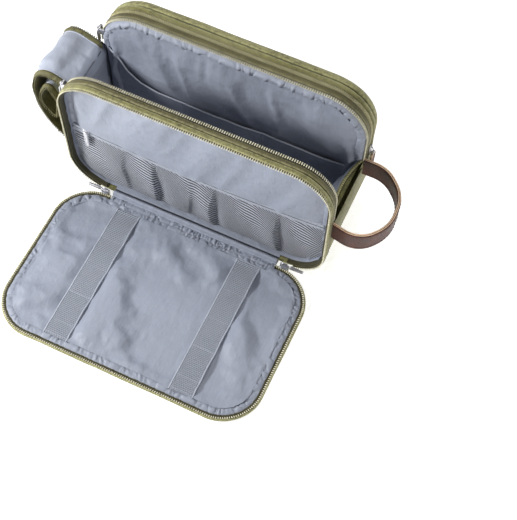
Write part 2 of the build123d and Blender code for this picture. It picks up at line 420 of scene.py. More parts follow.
class Look:
    """A node material. Its methods add nodes and give back the socket to use."""

    def __init__(self, name, **sockets):
        self.material = bpy.data.materials.new(name)
        self.material.use_nodes = True
        self.tree = self.material.node_tree
        self.shader = self.tree.nodes["Principled BSDF"]
        for key, value in sockets.items():
            self.shader.inputs[key.replace("_", " ")].default_value = value

    def node(self, kind, values, output=0, **settings):
        """A node whose inputs are linked or set."""
        made = self.tree.nodes.new(kind)
        for key, value in settings.items():
            setattr(made, key, value)
        for key, value in values.items():
            if isinstance(value, bpy.types.NodeSocket):
                self.tree.links.new(value, made.inputs[key])
            else:
                made.inputs[key].default_value = value
        return made.outputs[output]

    def math(self, operation, a, b=0.0):
        """One step of arithmetic."""
        return self.node("ShaderNodeMath", {0: a, 1: b}, operation=operation)

    def total(self, *terms):
        """The sum of some values, each given with its share."""
        values = [value if share == 1 else self.math("MULTIPLY", value, share) for value, share in terms]
        made = values[0]
        for value in values[1:]:
            made = self.math("ADD", made, value)
        return made

    def space(self):
        """The object's own coordinates in metres."""
        return self.node("ShaderNodeTexCoord", {}, output=3)

    def stretch(self, where, sizes):
        """Coordinates scaled so that one unit is one size in metres along each axis."""
        return self.node("ShaderNodeMapping", {0: where, "Scale": [1 / size for size in sizes]})

    def blotches(self, where, size, detail=2.0, rough=0.5):
        """Noise with spots of one size, or of a different size along each axis."""
        sizes = size if isinstance(size, tuple) else (size, size, size)
        inputs = {"Vector": self.stretch(where, sizes), "Scale": 1.0, "Detail": detail, "Roughness": rough}
        return self.node("ShaderNodeTexNoise", inputs)

    def ramp(self, value, low, high):
        """From 0 to 1 as a value goes from low to high."""
        return self.node("ShaderNodeMapRange", {"Value": value, "From Min": low, "From Max": high})

    def mix(self, share, a, b):
        """From colour a to colour b as the share goes from 0 to 1."""
        return self.node("ShaderNodeMix", {0: share, 6: a, 7: b}, output=2, data_type="RGBA")

    def wave(self, value, size):
        """A ripple from -1 to 1 every size metres of a coordinate."""
        return self.math("SINE", self.math("MULTIPLY", value, 2 * math.pi / size))

    def finish(self, paint, height, depth, roughness, strength=1.0):
        """The material, with its colour, its bumps of some depth in metres and its roughness."""
        bump = self.node("ShaderNodeBump", {"Height": height, "Distance": depth, "Strength": strength})
        for key, socket in (("Base Color", paint), ("Normal", bump), ("Roughness", roughness)):
            self.tree.links.new(socket, self.shader.inputs[key])
        return self.material


def weave_places(look):
    """The cloth's own coordinates in metres, both of its axes alone, and the object's coordinates."""
    uv = look.node("ShaderNodeUVMap", {}, uv_map="Weave")
    parts = look.node("ShaderNodeSeparateXYZ", {0: uv})
    return uv, parts, parts.node.outputs[1], look.space()


def canvas_look(name, light, dark, worn):
    """Washed canvas: a plain weave of uneven threads, blotched all over and paler where it is folded."""
    look = Look(name, Roughness=0.86, Sheen_Weight=0.12, Sheen_Roughness=0.5)
    uv, along, over, space = weave_places(look)
    crossing = look.math("MULTIPLY", look.wave(along, 0.0016), look.wave(over, 0.0016))
    warp = look.blotches(uv, (0.0005, 0.011, 1))
    weft = look.blotches(uv, (0.011, 0.0005, 1))
    threads = look.total((warp, 0.5), (weft, 0.5))
    blotch = look.blotches(space, 0.0028, 4.0, 0.7)
    wash = look.blotches(space, 0.03)
    tone = look.total((look.ramp(threads, 0.36, 0.64), 0.45), (look.ramp(blotch, 0.36, 0.64), 0.55))
    paint = look.mix(tone, dark, light)
    paint = look.mix(look.ramp(wash, 0.35, 0.7), paint, look.mix(0.3, paint, worn))
    wear = look.node("ShaderNodeAttribute", {}, output=2, attribute_name="wear")
    rubbed = look.math("MULTIPLY", wear, look.ramp(blotch, 0.3, 0.6))
    paint = look.mix(rubbed, paint, worn)
    height = look.total((crossing, 0.35), (threads, 1.2))
    return look.finish(paint, height, 0.00035, look.ramp(blotch, -1.2, 1.6), 0.8)


def satin_look(name, light, dark, wrinkle=1.0):
    """Nylon lining: a fine twill with a soft gloss and small creases."""
    look = Look(name, Roughness=0.52, Sheen_Weight=0.22, Sheen_Roughness=0.35)
    uv, along, over, space = weave_places(look)
    twill = look.wave(look.math("ADD", along, over), 0.0009)
    streak = look.blotches(uv, (0.0006, 0.02, 1))
    crease = look.blotches(space, (0.009, 0.013, 0.009), 3.0, 0.55)
    paint = look.mix(look.ramp(streak, 0.1, 0.9), dark, light)
    # Paler where the crease noise stands highest: painted sheen on the creases' raised parts.
    paint = look.mix(look.ramp(crease, 0.35, 0.75), paint, look.mix(0.5, paint, light))
    height = look.total((twill, 0.05), (streak, 0.04), (crease, wrinkle * 3.0))
    return look.finish(paint, height, 0.0006, look.ramp(crease, -1.5, 2.3), 0.7)


def tape_look(name, light, dark):
    """Woven tape with ribs along it and small chevrons."""
    look = Look(name, Roughness=0.75, Sheen_Weight=0.1)
    _, along, over, space = weave_places(look)
    chevron = look.wave(look.math("ADD", along, look.math("PINGPONG", over, 0.0012)), 0.0013)
    rib = look.wave(over, 0.0011)
    fuzz = look.blotches(space, 0.0008, 3.0)
    tone = look.total((look.ramp(chevron, -1, 1), 0.5), (fuzz, 0.5))
    height = look.total((chevron, 1), (rib, 0.6))
    return look.finish(look.mix(tone, dark, light), height, 0.00018, look.ramp(fuzz, -2.2, 1.4))


def coil_look(name, light, dark, roughness):
    """Nylon coil, a little uneven in colour from tooth to tooth."""
    look = Look(name, Roughness=roughness, Specular_IOR_Level=0.6)
    vary = look.blotches(look.space(), 0.0017)
    paint = look.mix(look.ramp(vary, 0.3, 0.7), dark, light)
    return look.finish(paint, vary, 0.0001, look.ramp(vary, -0.6, 2.0))


def mesh_look(name, thread, hole):
    """Fine net: slanting threads with dark holes between them, drawn a little out of line."""
    look = Look(name, Roughness=0.6, Sheen_Weight=0.15)
    _, along, over, space = weave_places(look)
    drawn = look.wave(look.total((along, 1), (over, 0.5)), 0.052)
    rising = look.total((along, 0.5), (over, 1), (drawn, 0.0036))
    falling = look.math("SUBTRACT", look.math("MULTIPLY", along, 1.2), over)
    holes = look.total((look.wave(rising, 0.0029), 0.88), (look.wave(falling, 0.0021), 0.12))
    vary = look.blotches(space, 0.004)
    open_share = look.total((look.ramp(holes, -0.45, 0.85), 1), (vary, 0.1))
    return look.finish(look.mix(open_share, hole, thread), holes, 0.0005, look.ramp(vary, -1.2, 1.8))


def webbing_look(name, light, dark):
    """Elastic webbing: cross ribs over a finer knit."""
    look = Look(name, Roughness=0.6, Sheen_Weight=0.2)
    _, along, over, space = weave_places(look)
    rib = look.wave(along, 0.0016)
    knit = look.wave(over, 0.0012)
    fuzz = look.blotches(space, 0.0009)
    tone = look.total((look.ramp(rib, -1, 1), 0.55), (fuzz, 0.45))
    height = look.total((rib, 1), (knit, 0.4))
    return look.finish(look.mix(tone, dark, light), height, 0.00025, look.ramp(fuzz, -1.2, 1.8))


def leather_look(name, light, dark):
    """Pull-up leather: pebbled grain, darker in the pores, with paler clouds."""
    look = Look(name, Roughness=0.38, Specular_IOR_Level=0.35, Coat_Weight=0.04, Coat_Roughness=0.35)
    space = look.space()
    pebbles = look.node("ShaderNodeTexVoronoi", {"Vector": look.stretch(space, [0.0011] * 3), "Scale": 1.0},
                        feature="DISTANCE_TO_EDGE")
    grain = look.ramp(pebbles, 0.0, 0.22)
    cloud = look.blotches(space, 0.012, 4.0, 0.6)
    fibre = look.blotches(space, (0.0006, 0.0006, 0.003))
    paint = look.mix(look.ramp(cloud, 0.32, 0.7), dark, light)
    paint = look.mix(look.math("MULTIPLY", look.math("SUBTRACT", 1.0, grain), 0.5), paint, dark)
    height = look.total((grain, 1), (fibre, 0.5))
    return look.finish(paint, height, 0.00018, look.ramp(cloud, -0.6, 1.9))


def metal_look(name, tint):
    """Plated zinc with fine brushing and a few dull spots."""
    look = Look(name, Metallic=1.0, Roughness=0.28)
    space = look.space()
    brush = look.blotches(space, (0.0004, 0.004, 0.0004))
    spots_of_dull = look.blotches(space, 0.003, 3.0)
    dull = [c * 0.75 for c in tint[:3]] + [1.0]
    paint = look.mix(look.ramp(spots_of_dull, 0.45, 0.8), tint, dull)
    return look.finish(paint, brush, 0.00004, look.ramp(spots_of_dull, -0.5, 2.4))


def plain_look(name, light, dark, size, roughness):
    """Foam, board, thread, cut leather and the floor: two close colours in small grains."""
    look = Look(name, Roughness=roughness)
    grains = look.blotches(look.space(), size, 3.0)
    paint = look.mix(look.ramp(grains, 0.3, 0.7), dark, light)
    return look.finish(paint, grains, size * 0.3, look.ramp(grains, -1.6, 1.3))


CANVAS = canvas_look("canvas", colour(157, 154, 92), colour(50, 48, 20), colour(190, 187, 138))
DARK_CANVAS = canvas_look("canvas_shaded", colour(98, 93, 52), colour(46, 42, 18), colour(146, 141, 100))
# A darker copy of the canvas for the whole lid: painted shade for the shade inside the lid's roll.
SHADED_LID_CANVAS = canvas_look("canvas_lid", colour(116, 112, 64), colour(44, 42, 18), colour(144, 140, 96))
CANVAS_TAPE = tape_look("olive_tape", colour(84, 79, 42), colour(44, 40, 18))
# Tape under the teeth, darkened below its own olive towards black: partly the tape's colour, partly painted
# shade for the gaps between the teeth.
SHADED_TOOTH_TAPE = tape_look("tooth_tape", colour(58, 54, 28), colour(30, 27, 12))
COIL = coil_look("olive_coil", colour(248, 244, 220), colour(204, 198, 160), 0.3)
CLOSED_COIL = coil_look("closed_coil", colour(226, 220, 176), colour(168, 160, 112), 0.4)
LID_COIL = coil_look("lid_coil", colour(122, 116, 76), colour(80, 74, 42), 0.45)
OLIVE_THREAD = plain_look("olive_thread", colour(146, 141, 98), colour(98, 92, 54), 0.0006, 0.7)
SATIN = satin_look("lining_satin", colour(160, 166, 180), colour(138, 144, 159))
# A paler copy of the lining satin for the lid's lining: painted light, brighter than the same satin
# elsewhere.
LIT_SATIN = satin_look("lining_satin_pale", colour(172, 178, 192), colour(160, 166, 181), 0.6)
GREY_TAPE = tape_look("grey_tape", colour(204, 209, 220), colour(170, 176, 190))
GREY_COIL = coil_look("grey_coil", colour(46, 50, 60), colour(24, 27, 35), 0.45)
PALE_EDGE = plain_look("pale_edge", colour(240, 243, 250), colour(214, 219, 230), 0.0006, 0.5)
# A dark grey tape colour used as painted shade: the shade in the hinge's seam groove and along the lid
# lining's seam.
SEAM_SHADE_TAPE = tape_look("seam_tape", colour(62, 66, 76), colour(40, 43, 52))
BROWN_THREAD = plain_look("brown_thread", colour(132, 96, 74), colour(92, 62, 48), 0.0006, 0.6)
GREY_THREAD = plain_look("grey_thread", colour(196, 201, 212), colour(160, 166, 180), 0.0006, 0.6)
NET = mesh_look("pocket_mesh", colour(196, 201, 214), colour(9, 10, 16))
WEBBING = webbing_look("elastic_webbing", colour(172, 178, 190), colour(122, 128, 140))
LEATHER = leather_look("leather", colour(112, 58, 40), colour(54, 26, 17))
LEATHER_EDGE = plain_look("leather_edge", colour(255, 232, 202), colour(252, 206, 164), 0.0008, 0.5)
METAL = metal_look("nickel", colour(214, 214, 220))
FOAM = plain_look("foam", colour(236, 236, 230), colour(214, 214, 208), 0.0012, 0.9)
BOARD = plain_look("board", colour(70, 70, 74), colour(52, 52, 56), 0.0008, 0.6)
FLOOR = plain_look("floor", colour(250, 250, 250), colour(246, 246, 246), 0.02, 0.6)
glow = FLOOR.node_tree.nodes["Principled BSDF"].inputs
glow["Emission Color"].default_value = (1.0, 1.0, 1.0, 1.0)
glow["Emission Strength"].default_value = 0.7


# ---------------------------------------------------------------- back half

back_path = rounded(*BACK)
front_path = rounded(*FRONT)
flap_path = rounded(*FLAP)


def above_seam(path, left, right):
    """The stretch of an outline above one height on the right and another on the left."""
    return path.where(lambda x, z: np.where(x > 0, z > right, z > left))


def under_ends(path, left, right):
    """The rest of that outline: from its lowest middle up to the right, and from the left back down."""
    return ((0.0, path.where(lambda x, z: (z < right) & (x > 0))[1]),
            (path.where(lambda x, z: (z > left) & (x < 0))[1], path.length))


def soft(size, seed, amount, depth_amount=0.0):
    """A shift for sweep(): the cloth's outer face swells and sinks a little along its length."""
    def shift(s, profile):
        """The move inwards and in depth."""
        inwards = amount * noise(s, profile[:, 1][None, :], size, seed)
        depth = depth_amount * noise(s, profile[:, 0][None, :], size, seed + 1)
        return inwards, np.broadcast_to(depth, inwards.shape)
    return shift


def fold_wear(profile, where):
    """How worn each point of a section is: most at some depths, where the cloth is folded."""
    near = [np.exp(-((profile[:, 1] - w) / 0.9) ** 2) for w in where]
    return np.clip(np.sum(near, axis=0) * (profile[:, 0] < 0.9), 0, 1)


def make_back():
    """The back panel, which rolls over its edge onto the sides, and the piping seam beside the roll."""
    part = Part()
    turn = np.radians(np.linspace(0, 90, 12))
    roll = np.array([(1.6, 46.9), (0.5, 46.9), (0.05, 47.6)]
                    + [(8 - 8 * math.cos(a), 48 + 8 * math.sin(a)) for a in turn])
    wear = np.exp(-((roll[:, 0] - 2.0) / 2.6) ** 2) * 0.75
    sweep(part, back_path, roll, closed=False, shift=soft(26, 5, 0.35, 0.3), wear=wear)

    def face(x, z):
        """The panel's depth: padded out from its rolled edge."""
        edge = np.minimum(np.minimum(z, 161.0 - z), 126.0 - np.abs(x))
        crown = 1.3 * np.clip((edge - 8) / 30, 0, 1) ** 0.7
        fade = np.clip((edge - 8) / 6, 0, 1)
        return 56.0 + crown * 0.6 + fade * (0.45 * noise(x, z, 33, 9) + 0.18 * noise(x, z, 11, 10))
    panel(part, BACK, 8.0, face, rows=66)
    finish(part.make("back_panel", CANVAS), "bag", "canvas", "back_canvas")

    groove = Part()
    sweep(groove, back_path, circle(2.2, 46.15, 0.7, 10, 0.6), shift=soft(9, 12, 0.15))
    sweep(groove, back_path, section(3.2, 2.4, 45.2, 47.2, 0.3))
    finish(groove.make("rear_piping_cord", CANVAS_TAPE), "bag", "canvas", "rear_piping")


def make_patch():
    """A blank leather patch on the back, glued and sewn round its edge."""
    shape = (52.0, 14.0, 3.0, 27.0)
    outline = rounded(*shape)
    part = Part()
    rim = [(0.0, 55.9), (0.0, 56.8), (0.25, 57.2), (0.8, 57.35)]
    sweep(part, outline, rim, closed=False, step=1.0, kind=1)
    panel(part, shape, 0.8, lambda x, z: 57.35 + 0.06 * noise(x, z, 3, 3), rows=14, step=1.5)
    finish(part.make("leather_label", LEATHER, LEATHER_EDGE), "bag", "leather", "leather_patch")
    rows = Part()
    line, _ = beside(outline, 1.9, 57.4, step=0.5)
    stitches(rows, line, (0, 1, 0), 2.6, 1.9, 0.24)
    finish(rows.make("leather_label_stitches", OLIVE_THREAD), "bag", "leather")


def strip(name, low, high, seed, node, stitch, wear, material=CANVAS):
    """A folded canvas strip over the back's top, with a line of stitches at one of its depths."""
    span = above_seam(back_path, BAND_SEAM, BAND_SEAM)
    part = Part()
    profile = section(2.0, 0.0, low, high, 0.45, 0.3)
    sweep(part, back_path, profile, span=span, shift=soft(17, seed, 0.22), wear=fold_wear(profile, (wear,)))
    finish(part.make(name, material), "bag", "canvas", node)
    rows = Part()
    line, out = beside(back_path, -0.28, stitch, span)
    stitches(rows, line, out)
    finish(rows.make(name + "_stitches", OLIVE_THREAD), "bag", "canvas")


def make_rear_bands():
    """Two strips over the back's top, and between them the rear pocket's closed coil zip."""
    strip("rear_outer_band", 41.1, 45.4, 21, "rear_outer_strip", 41.9, 45.0)
    strip("rear_inner_band", 31.3, 35.9, 24, "rear_inner_strip", 35.1, 31.5, DARK_CANVAS)
    span = above_seam(back_path, BAND_SEAM, BAND_SEAM)
    low, high = 36.0, 41.1
    middle = (low + high) / 2
    part = Part()
    for a, b in ((low - 0.2, middle - 0.15), (middle + 0.15, high + 0.2)):
        sweep(part, back_path, section(1.7, 0.75, a, b, 0.25, 0.08), span=span)
    for side in (-1, 1):
        teeth(part, back_path, 0.4, middle + side * 0.95, (0.1, 1.0), span=span, length=2.4, radius=0.42,
              pitch=1.8, slant=0.55 * side, start=0.45 * (side + 1))
    finish(part.make("rear_pocket_coil", SHADED_TOOTH_TAPE, CLOSED_COIL), "bag", "zip_tape", "rear_pocket_zip")


def make_main_zip():
    """Both halves of the open main zip: each tape's edge and the row of teeth along it."""
    for side, path, low, high, tooth, way in (("rear", back_path, 28.6, 31.4, 28.9, 1.0),
                                              ("front", front_path, -38.4, -35.6, -35.9, -1.0)):
        span = above_seam(path, HINGE_LEFT, RIGHT_END)
        part = Part()
        sweep(part, path, section(1.3, 0.5, low, high, 0.25, 0.05), span=span)
        teeth(part, path, 0.55, tooth, (0.12, way), span=span, length=3.2, radius=0.52)
        finish(part.make(f"main_zip_{side}", SHADED_TOOTH_TAPE, COIL), "bag", "zip_tape", f"main_zip_{side}_tape")


def gusset_fold(z, y):
    """How far the right end has fallen in: its top sags above a crease that opens towards the front."""
    sag = 6.5 * np.sin(math.pi * np.clip((y + 35.5) / 63, 0, 1)) ** 0.7 * np.clip((z - 64) / 24, 0, 1)
    opening = np.clip((20 - y) / 30, 0, 1) * np.clip((y + 17) / 4, 0, 1)
    pocket = np.clip((85.5 - z) / 1.5, 0, 1) * np.clip((z - 84.5 + 12.0 * opening) / 3.0, 0, 1)
    return sag + 7.5 * opening ** 0.6 * pocket


def make_gussets():
    """The canvas under the bag and up both ends, whose upper part folds inwards a little at the strap end."""
    right, left = under_ends(back_path, BAND_SEAM, BAND_SEAM)
    depths = np.linspace(-35.3, 45.4, 34)
    profile = np.concatenate([np.column_stack([np.zeros(34), depths]),
                              np.column_stack([np.full(34, 1.9), depths[::-1]])])

    def dented(side):
        """The shift of one end's cloth; side is 1 at the right."""
        def shift(s, points):
            """Soft folds, the crease and a swelling under it."""
            place, _ = back_path.at(s[:, 0])
            z, y = place[:, 1:], points[:, 1][None, :]
            rise = np.clip((z - 30) / 50, 0, 1)
            soft_fold = 0.55 * noise(z, y, 19, 31 + side) + 0.3 * noise(z, y, 8, 41)
            crease = gusset_fold(z, y) * (1.0 if side > 0 else 0.3)
            swell = 1.5 * np.exp(-((z - 66.0) / 9.0) ** 2) * np.clip((30 - y) / 40, 0, 1)
            floor = np.where(z < 20, 0.25, 1.0)
            inwards = (rise * 0.9 + 0.1) * soft_fold * floor + crease - swell
            return np.maximum(inwards, -1.8), np.zeros_like(inwards)
        return shift
    part = Part()
    sweep(part, back_path, profile, span=right, shift=dented(1))
    sweep(part, back_path, profile, span=left, shift=dented(-1))
    finish(part.make("gusset", CANVAS), "bag", "canvas", "base_band")


def make_end(name, side, top, node):
    """The short canvas panel above the gusset; side is 1 at the right."""
    part = Part()
    span = back_path.where(lambda x, z: (x * side > 100) & (z > BAND_SEAM - 0.5) & (z < top))
    profile = section(1.9, -0.2, -35.1, 27.8, 0.4, 0.5, 22)
    sway = soft(14, 51 + side, 0.3)

    def tucked(s, points):
        """The cloth's own softness, and the right end's fold."""
        place, _ = back_path.at(s[:, 0])
        inwards, depth = sway(s, points)
        return inwards + gusset_fold(place[:, 1:], points[:, 1][None, :]) * (side > 0), depth
    sweep(part, back_path, profile, span=span, step=1.0, shift=tucked)
    finish(part.make(name, CANVAS), "bag", "canvas", node)
    rows = Part()
    y = np.linspace(-34, 27, 60)
    for drop in (7.8,) if side > 0 else (1.6, 7.2):
        z = BAND_SEAM + drop
        stitches(rows, spots(side * 126.85 - gusset_fold(z, y) * (side > 0), y, z), (side, 0, 0))
    finish(rows.make(name + "_stitches", OLIVE_THREAD), "bag", "canvas")


def make_end_hem():
    """The lining turned over the right end's top edge, and the row of coil sewn along it."""
    part = Part()
    y = np.linspace(-34.6, 27.2, 90)
    line = np.array([(125.9, 90.4), (125.6, 91.6), (124.4, 92.2), (122.6, 91.4), (120.9, 88.6), (120.1, 84.5),
                     (120.2, 80.0)])
    t = np.linspace(0, len(line) - 1, 26)
    x, z = each_column(t, range(len(line)), line).T
    puff = (0.5 * noise(y[:, None], t, 9, 55) + 0.3 * noise(y[:, None], t, 3.5, 56)) * (t > 5)
    fallen = gusset_fold(np.maximum(z, 86.0), y[:, None])
    add_lattice(part, spots(x - puff - fallen, y[:, None], z + puff), y, t, [int(k > 10) for k in range(25)])
    finish(part.make("right_end_hem", CANVAS, SATIN), "bag", "canvas")
    row = Part()
    s = np.arange(-34, 27, TOOTH_PITCH)
    centres = spots(125.4 - gusset_fold(92.0, s), s, 92.2)
    scatter(row, capsule(1.9, 0.42), centres, np.broadcast_to((1.0, 0.0, -0.25), centres.shape), (0, 0, 1))
    finish(row.make("right_end_coil", CLOSED_COIL), "bag", "zip_tape")


# ---------------------------------------------------------------- main compartment


def satin_folds(seed, depth, size=34.0, slant=0.5):
    """Soft folds of a hanging lining, which lean to one side."""
    def height(x, z):
        """How far the cloth stands out."""
        lean = x + slant * z
        broad = noise(lean, z * 0.45, size, seed)
        sharp = 1 - np.abs(noise(lean, z * 0.3, size * 0.6, seed + 1)) * 2
        small = noise(x, z, 7, seed + 2) * 0.12
        return depth * (0.65 * broad + 0.35 * sharp) + small
    return height


def pocket_edge(x):
    """Height of the slip pockets' bound edge: highest at the left end and sewn down between the pockets."""
    return np.interp(x, [-120, -110, -101, -88, -70, -48, -20, 10, 33, 60, 85, 104, 120],
                     [118, 108, 93, 82.5, 77.5, 75.5, 77.2, 77.4, 78.4, 79.2, 78.8, 79.2, 80.5])


def pinches(s, across, size, seed):
    """Uneven gathers: soft puffs from -1 to 1 with narrow creases between them."""
    wander = s + 1.5 * noise(s, 0, 11, seed) + 0.9 * across * noise(s, 0, 6, seed + 1)
    swell = noise(wander, across * 0.35, size, seed + 2)
    return 0.8 * swell - 1.3 * np.exp(-(swell / 0.17) ** 2)


def gathered(part, path, span, start, end, size, seed, push):
    """Lining sewn in short gathers between two (inset, depth) places, which puff out to one depth."""
    start, end = np.array(start), np.array(end)
    t = np.linspace(0, 1, 9)
    lift = np.sin(math.pi * np.clip(t * 0.85 + 0.1, 0, 1)) ** 0.8

    def shift(s, _):
        """The puffs stand out in depth only."""
        puff = lift * (0.9 + pinches(s, t[None, :] * 6, size, seed))
        return 0.0 * puff, push * puff
    sweep(part, path, start + (end - start) * t[:, None], span=span, step=0.7, shift=shift, closed=False)


# The gathers beside the rear teeth, from the tape inwards: a dark gap, a puffed ruffle and the seam under it.
RUFFLE = np.array([(1.6, 28.7), (2.3, 27.5), (3.0, 26.4), (3.9, 25.3), (5.0, 24.7), (6.2, 24.5), (7.4, 24.8),
                   (8.4, 25.5), (9.2, 26.4), (9.8, 27.6), (9.8, 28.4)])


def ruffle(part, path, span, seed):
    """A puffed strip of lining with short uneven gathers across it."""
    t = np.linspace(0, 1, len(RUFFLE))[None, :]
    lift = np.sin(math.pi * t) ** 0.6
    out = RUFFLE - RUFFLE.mean(axis=0)
    out /= np.linalg.norm(out, axis=1, keepdims=True)

    def shift(s, _):
        """Away from the ruffle's own middle."""
        push = 1.1 * lift * (pinches(s, t * 8, 3.4, seed) + 0.5 * noise(s, 0, 21, seed + 4))
        return push * out[:, 0], push * out[:, 1]
    sweep(part, path, RUFFLE, span=span, step=0.6, shift=shift, closed=False)


def make_main_lining():
    """The main compartment's satin: back, front, ends and floor, with gathers under the zip's teeth."""
    wall = satin_folds(61, 7.5, 29.0, 0.3)

    def back_face(x, z):
        """The back sheet's depth: folds, short pulls under the zip and a roll down each side."""
        edge = np.clip(np.minimum(np.minimum(z - 6, 158 - z), 121 - np.abs(x)) / 24, 0, 1)
        free = np.clip((z - pocket_edge(x)) / 18, 0.12, 1)
        drawn = 1.3 * np.clip((z - 112) / 40, 0, 1) * noise(x + 2.0 * noise(x, 0, 13, 66), z * 0.25, 5.5, 65)
        roll = 6.0 * np.exp(-((np.abs(x) - 112.5 + 1.8 * np.sin(z / 8.0)) / 3.2) ** 2)
        roll = roll * (0.8 + 0.4 * noise(x, z, 9, 67)) * np.clip((np.where(x < 0, 140, 120) - z) / 25, 0, 1)
        calm = np.clip((152 - np.abs(x) - z / 4) / 34, 0, 1)
        loose = np.maximum(3.4 + wall(x, z) * calm, 0.2) * edge * free
        return 26.7 - loose - drawn * np.clip((158 - z) / 14, 0, 1) - roll
    part = Part()
    panel(part, BACK, 6.0, back_face, rows=84, step=2.0)
    back = finish(part.make("main_lining_back", SATIN), "bag", "lining", "lining_back")

    front = Part()
    panel(front, FRONT, 6.0, lambda x, z: -34.6 + 0.5 * satin_folds(71, 1.0)(x, z), rows=50, step=4.0)
    front_sheet = finish(front.make("main_lining_front", SATIN), "bag", "lining", "lining_front")

    sleeve = Part()
    right, left = under_ends(back_path, HINGE_LEFT - 2, RIGHT_END - 1)
    profile = np.column_stack([np.full(26, 4.8), np.linspace(-34.9, 26.9, 26)])

    def sag(s, points):
        """Loose folds over the floor and up the ends, and the right end's fold."""
        y = points[:, 1][None, :]
        place, _ = back_path.at(s[:, 0])
        x, z = place[:, :1], place[:, 1:]
        fold = 1.1 * noise(s, y, 24, 81) + 0.5 * noise(s, y, 9, 82)
        edge = np.clip((31 - np.abs(y + 4)) / 10, 0.15, 1)
        free = np.clip((np.where(x > 0, RIGHT_END, HINGE_LEFT) - z) / 14, 0, 1)
        loose = (1.6 + fold) * edge * free - 2.2 * (1 - free)
        return loose + gusset_fold(z, y) * (x > 0), np.zeros_like(fold)
    for span in (right, left):
        sweep(sleeve, back_path, profile, span=span, shift=sag, closed=False)
    finish(sleeve.make("main_lining_sleeve", SATIN), "bag", "lining", "lining_sleeve")

    gathers = Part()
    span = above_seam(back_path, HINGE_LEFT - 6, RIGHT_END - 4)
    ruffle(gathers, back_path, span, 91)
    span = above_seam(front_path, HINGE_LEFT, RIGHT_END)
    gathered(gathers, front_path, span, (1.5, -35.4), (7.0, -34.2), 4.0, 95, 0.7)
    finish(gathers.make("main_lining_gathers", SATIN), "bag", "lining")


def make_slip_pockets():
    """Three slip pockets on the back wall, sewn down between them, with a bound upper edge."""
    seams = np.array([-118.0, -48.0, 33.0, 118.0])

    def stand_off(x, z):
        """The pockets' depth: they belly out between their seams."""
        gap = np.min(np.abs(x[..., None] - seams), axis=-1)
        bulge = 2.4 * np.clip(gap / 26, 0, 1) ** 0.7
        top = np.clip((z - 6) / 60, 0, 1)
        folds = 0.5 * noise(x, z, 21, 101) + 0.15 * noise(x, z, 7, 102)
        return 24.6 - 0.7 * bulge * (0.35 + 0.65 * top) - folds
    part = Part()
    panel(part, BACK, 7.0, stand_off, high=pocket_edge, rows=44)
    pocket = finish(part.make("slip_pocket_sheet", SATIN), "bag", "lining", "slip_pockets")
    x = np.linspace(-117, 117, 160)
    edge = smooth_path(np.column_stack([x, pocket_edge(x)]), 1.5)
    binding = Part()

    def follow(s, _):
        """The binding runs along the pockets' cloth."""
        place, _ = edge.at(s[:, 0])
        return np.zeros((len(s), 1)), stand_off(place[:, :1], place[:, 1:])
    sweep(binding, edge, circle(0.0, 0.0, 0.75, 9, 0.7), shift=follow)
    finish(binding.make("slip_pocket_edge", PALE_EDGE), "bag", "lining", "slip_pocket_binding")
    rows = Part()
    for seam in seams[1:3]:
        z = np.linspace(8, float(pocket_edge(seam)) - 1, 60)
        stitches(rows, spots(seam, stand_off(np.full(60, seam), z) - 0.2, z), (0, -1, 0), 2.8, 2.0, 0.2)
    finish(rows.make("slip_pocket_stitches", GREY_THREAD), "bag", "lining")


# ---------------------------------------------------------------- front tray


def make_front_frame():
    """Two folded canvas strips round the tray, a foot strip and the tray's half of the flap zip."""
    part = Part()
    for low, high, seed, wear, kind in ((-42.9, -38.4, 111, (-42.6,), 1),
                                        (-48.3, -43.8, 113, (-44.1, -48.0), 0)):
        profile = section(2.0, 0.0, low, high, 0.45, 0.55)
        sweep(part, front_path, profile, shift=soft(15, seed, 0.22), wear=fold_wear(profile, wear), kind=kind)
    sweep(part, front_path, section(2.2, 1.4, -44.2, -42.4, 0.3), kind=1)
    finish(part.make("tray_frame", CANVAS, DARK_CANVAS), "bag", "canvas", "front_frame")

    foot = Part()
    right, left = under_ends(front_path, HINGE_LEFT, RIGHT_END)
    profile = section(2.0, 0.2, -38.5, -35.0, 0.4, 0.3)
    for span, seed in ((right, 115), (left, 116)):
        sweep(foot, front_path, profile, span=span, shift=soft(15, seed, 0.2))
    finish(foot.make("tray_foot_band", CANVAS), "bag", "canvas", "front_foot_strip")

    rows = Part()
    for depth in (-39.6, -47.2):
        line, out = beside(front_path, -0.42, depth)
        stitches(rows, line, out)
    finish(rows.make("tray_frame_stitches", OLIVE_THREAD), "bag", "canvas")

    span = front_path.where(lambda x, z: (z > 20) | (np.abs(x) > 98))
    rim = Part()
    sweep(rim, front_path, section(1.6, 0.5, -49.6, -48.0, 0.25, 0.05), span=span)
    teeth(rim, front_path, 0.7, -49.6, (0.12, -1.0), span=span)
    finish(rim.make("tray_rim_zip", CANVAS_TAPE, COIL), "bag", "zip_tape", "flap_zip_rim_tape")


def zip_line(x):
    """Height of the mesh pocket's zip, which sags in the middle."""
    return 80.3 - 6.5 * (1 - (x / 119.0) ** 2)


PLEATS = np.array([-74.0, -44.0, -8.0, 15.0, 77.0])
PLEAT_DEPTHS = np.array([0.45, 1.0, 0.45, 1.0, 0.9])


def net_depth(x, z):
    """The mesh bellies out between its pleats, each of which wanders a little and folds over to the right."""
    places = PLEATS + 3.0 * np.sin(z[..., None] / 16 + PLEATS) * (1 - z[..., None] / 90)
    gap = x[..., None] - places
    ridge = np.exp(-(np.minimum(gap, 0) / 15.0) ** 2) * np.exp(-(np.maximum(gap, 0) / 1.6) ** 2)
    hollow = np.exp(-((gap - 5.5) / 4.5) ** 2)
    rise = np.clip((zip_line(x) - 4 - z) / 30, 0, 1) ** 0.8 * np.clip((z - 5) / 16, 0, 1) ** 0.5
    ridge, hollow = (ridge * PLEAT_DEPTHS).max(-1), (hollow * PLEAT_DEPTHS).max(-1)
    belly = 1.8 + 1.4 * noise(x, z, 22, 121) + 0.2 * noise(x + 0.4 * z, z, 6, 122)
    return -40.2 - np.maximum(rise * (belly + 3.6 * ridge - 1.9 * hollow), 0.1)


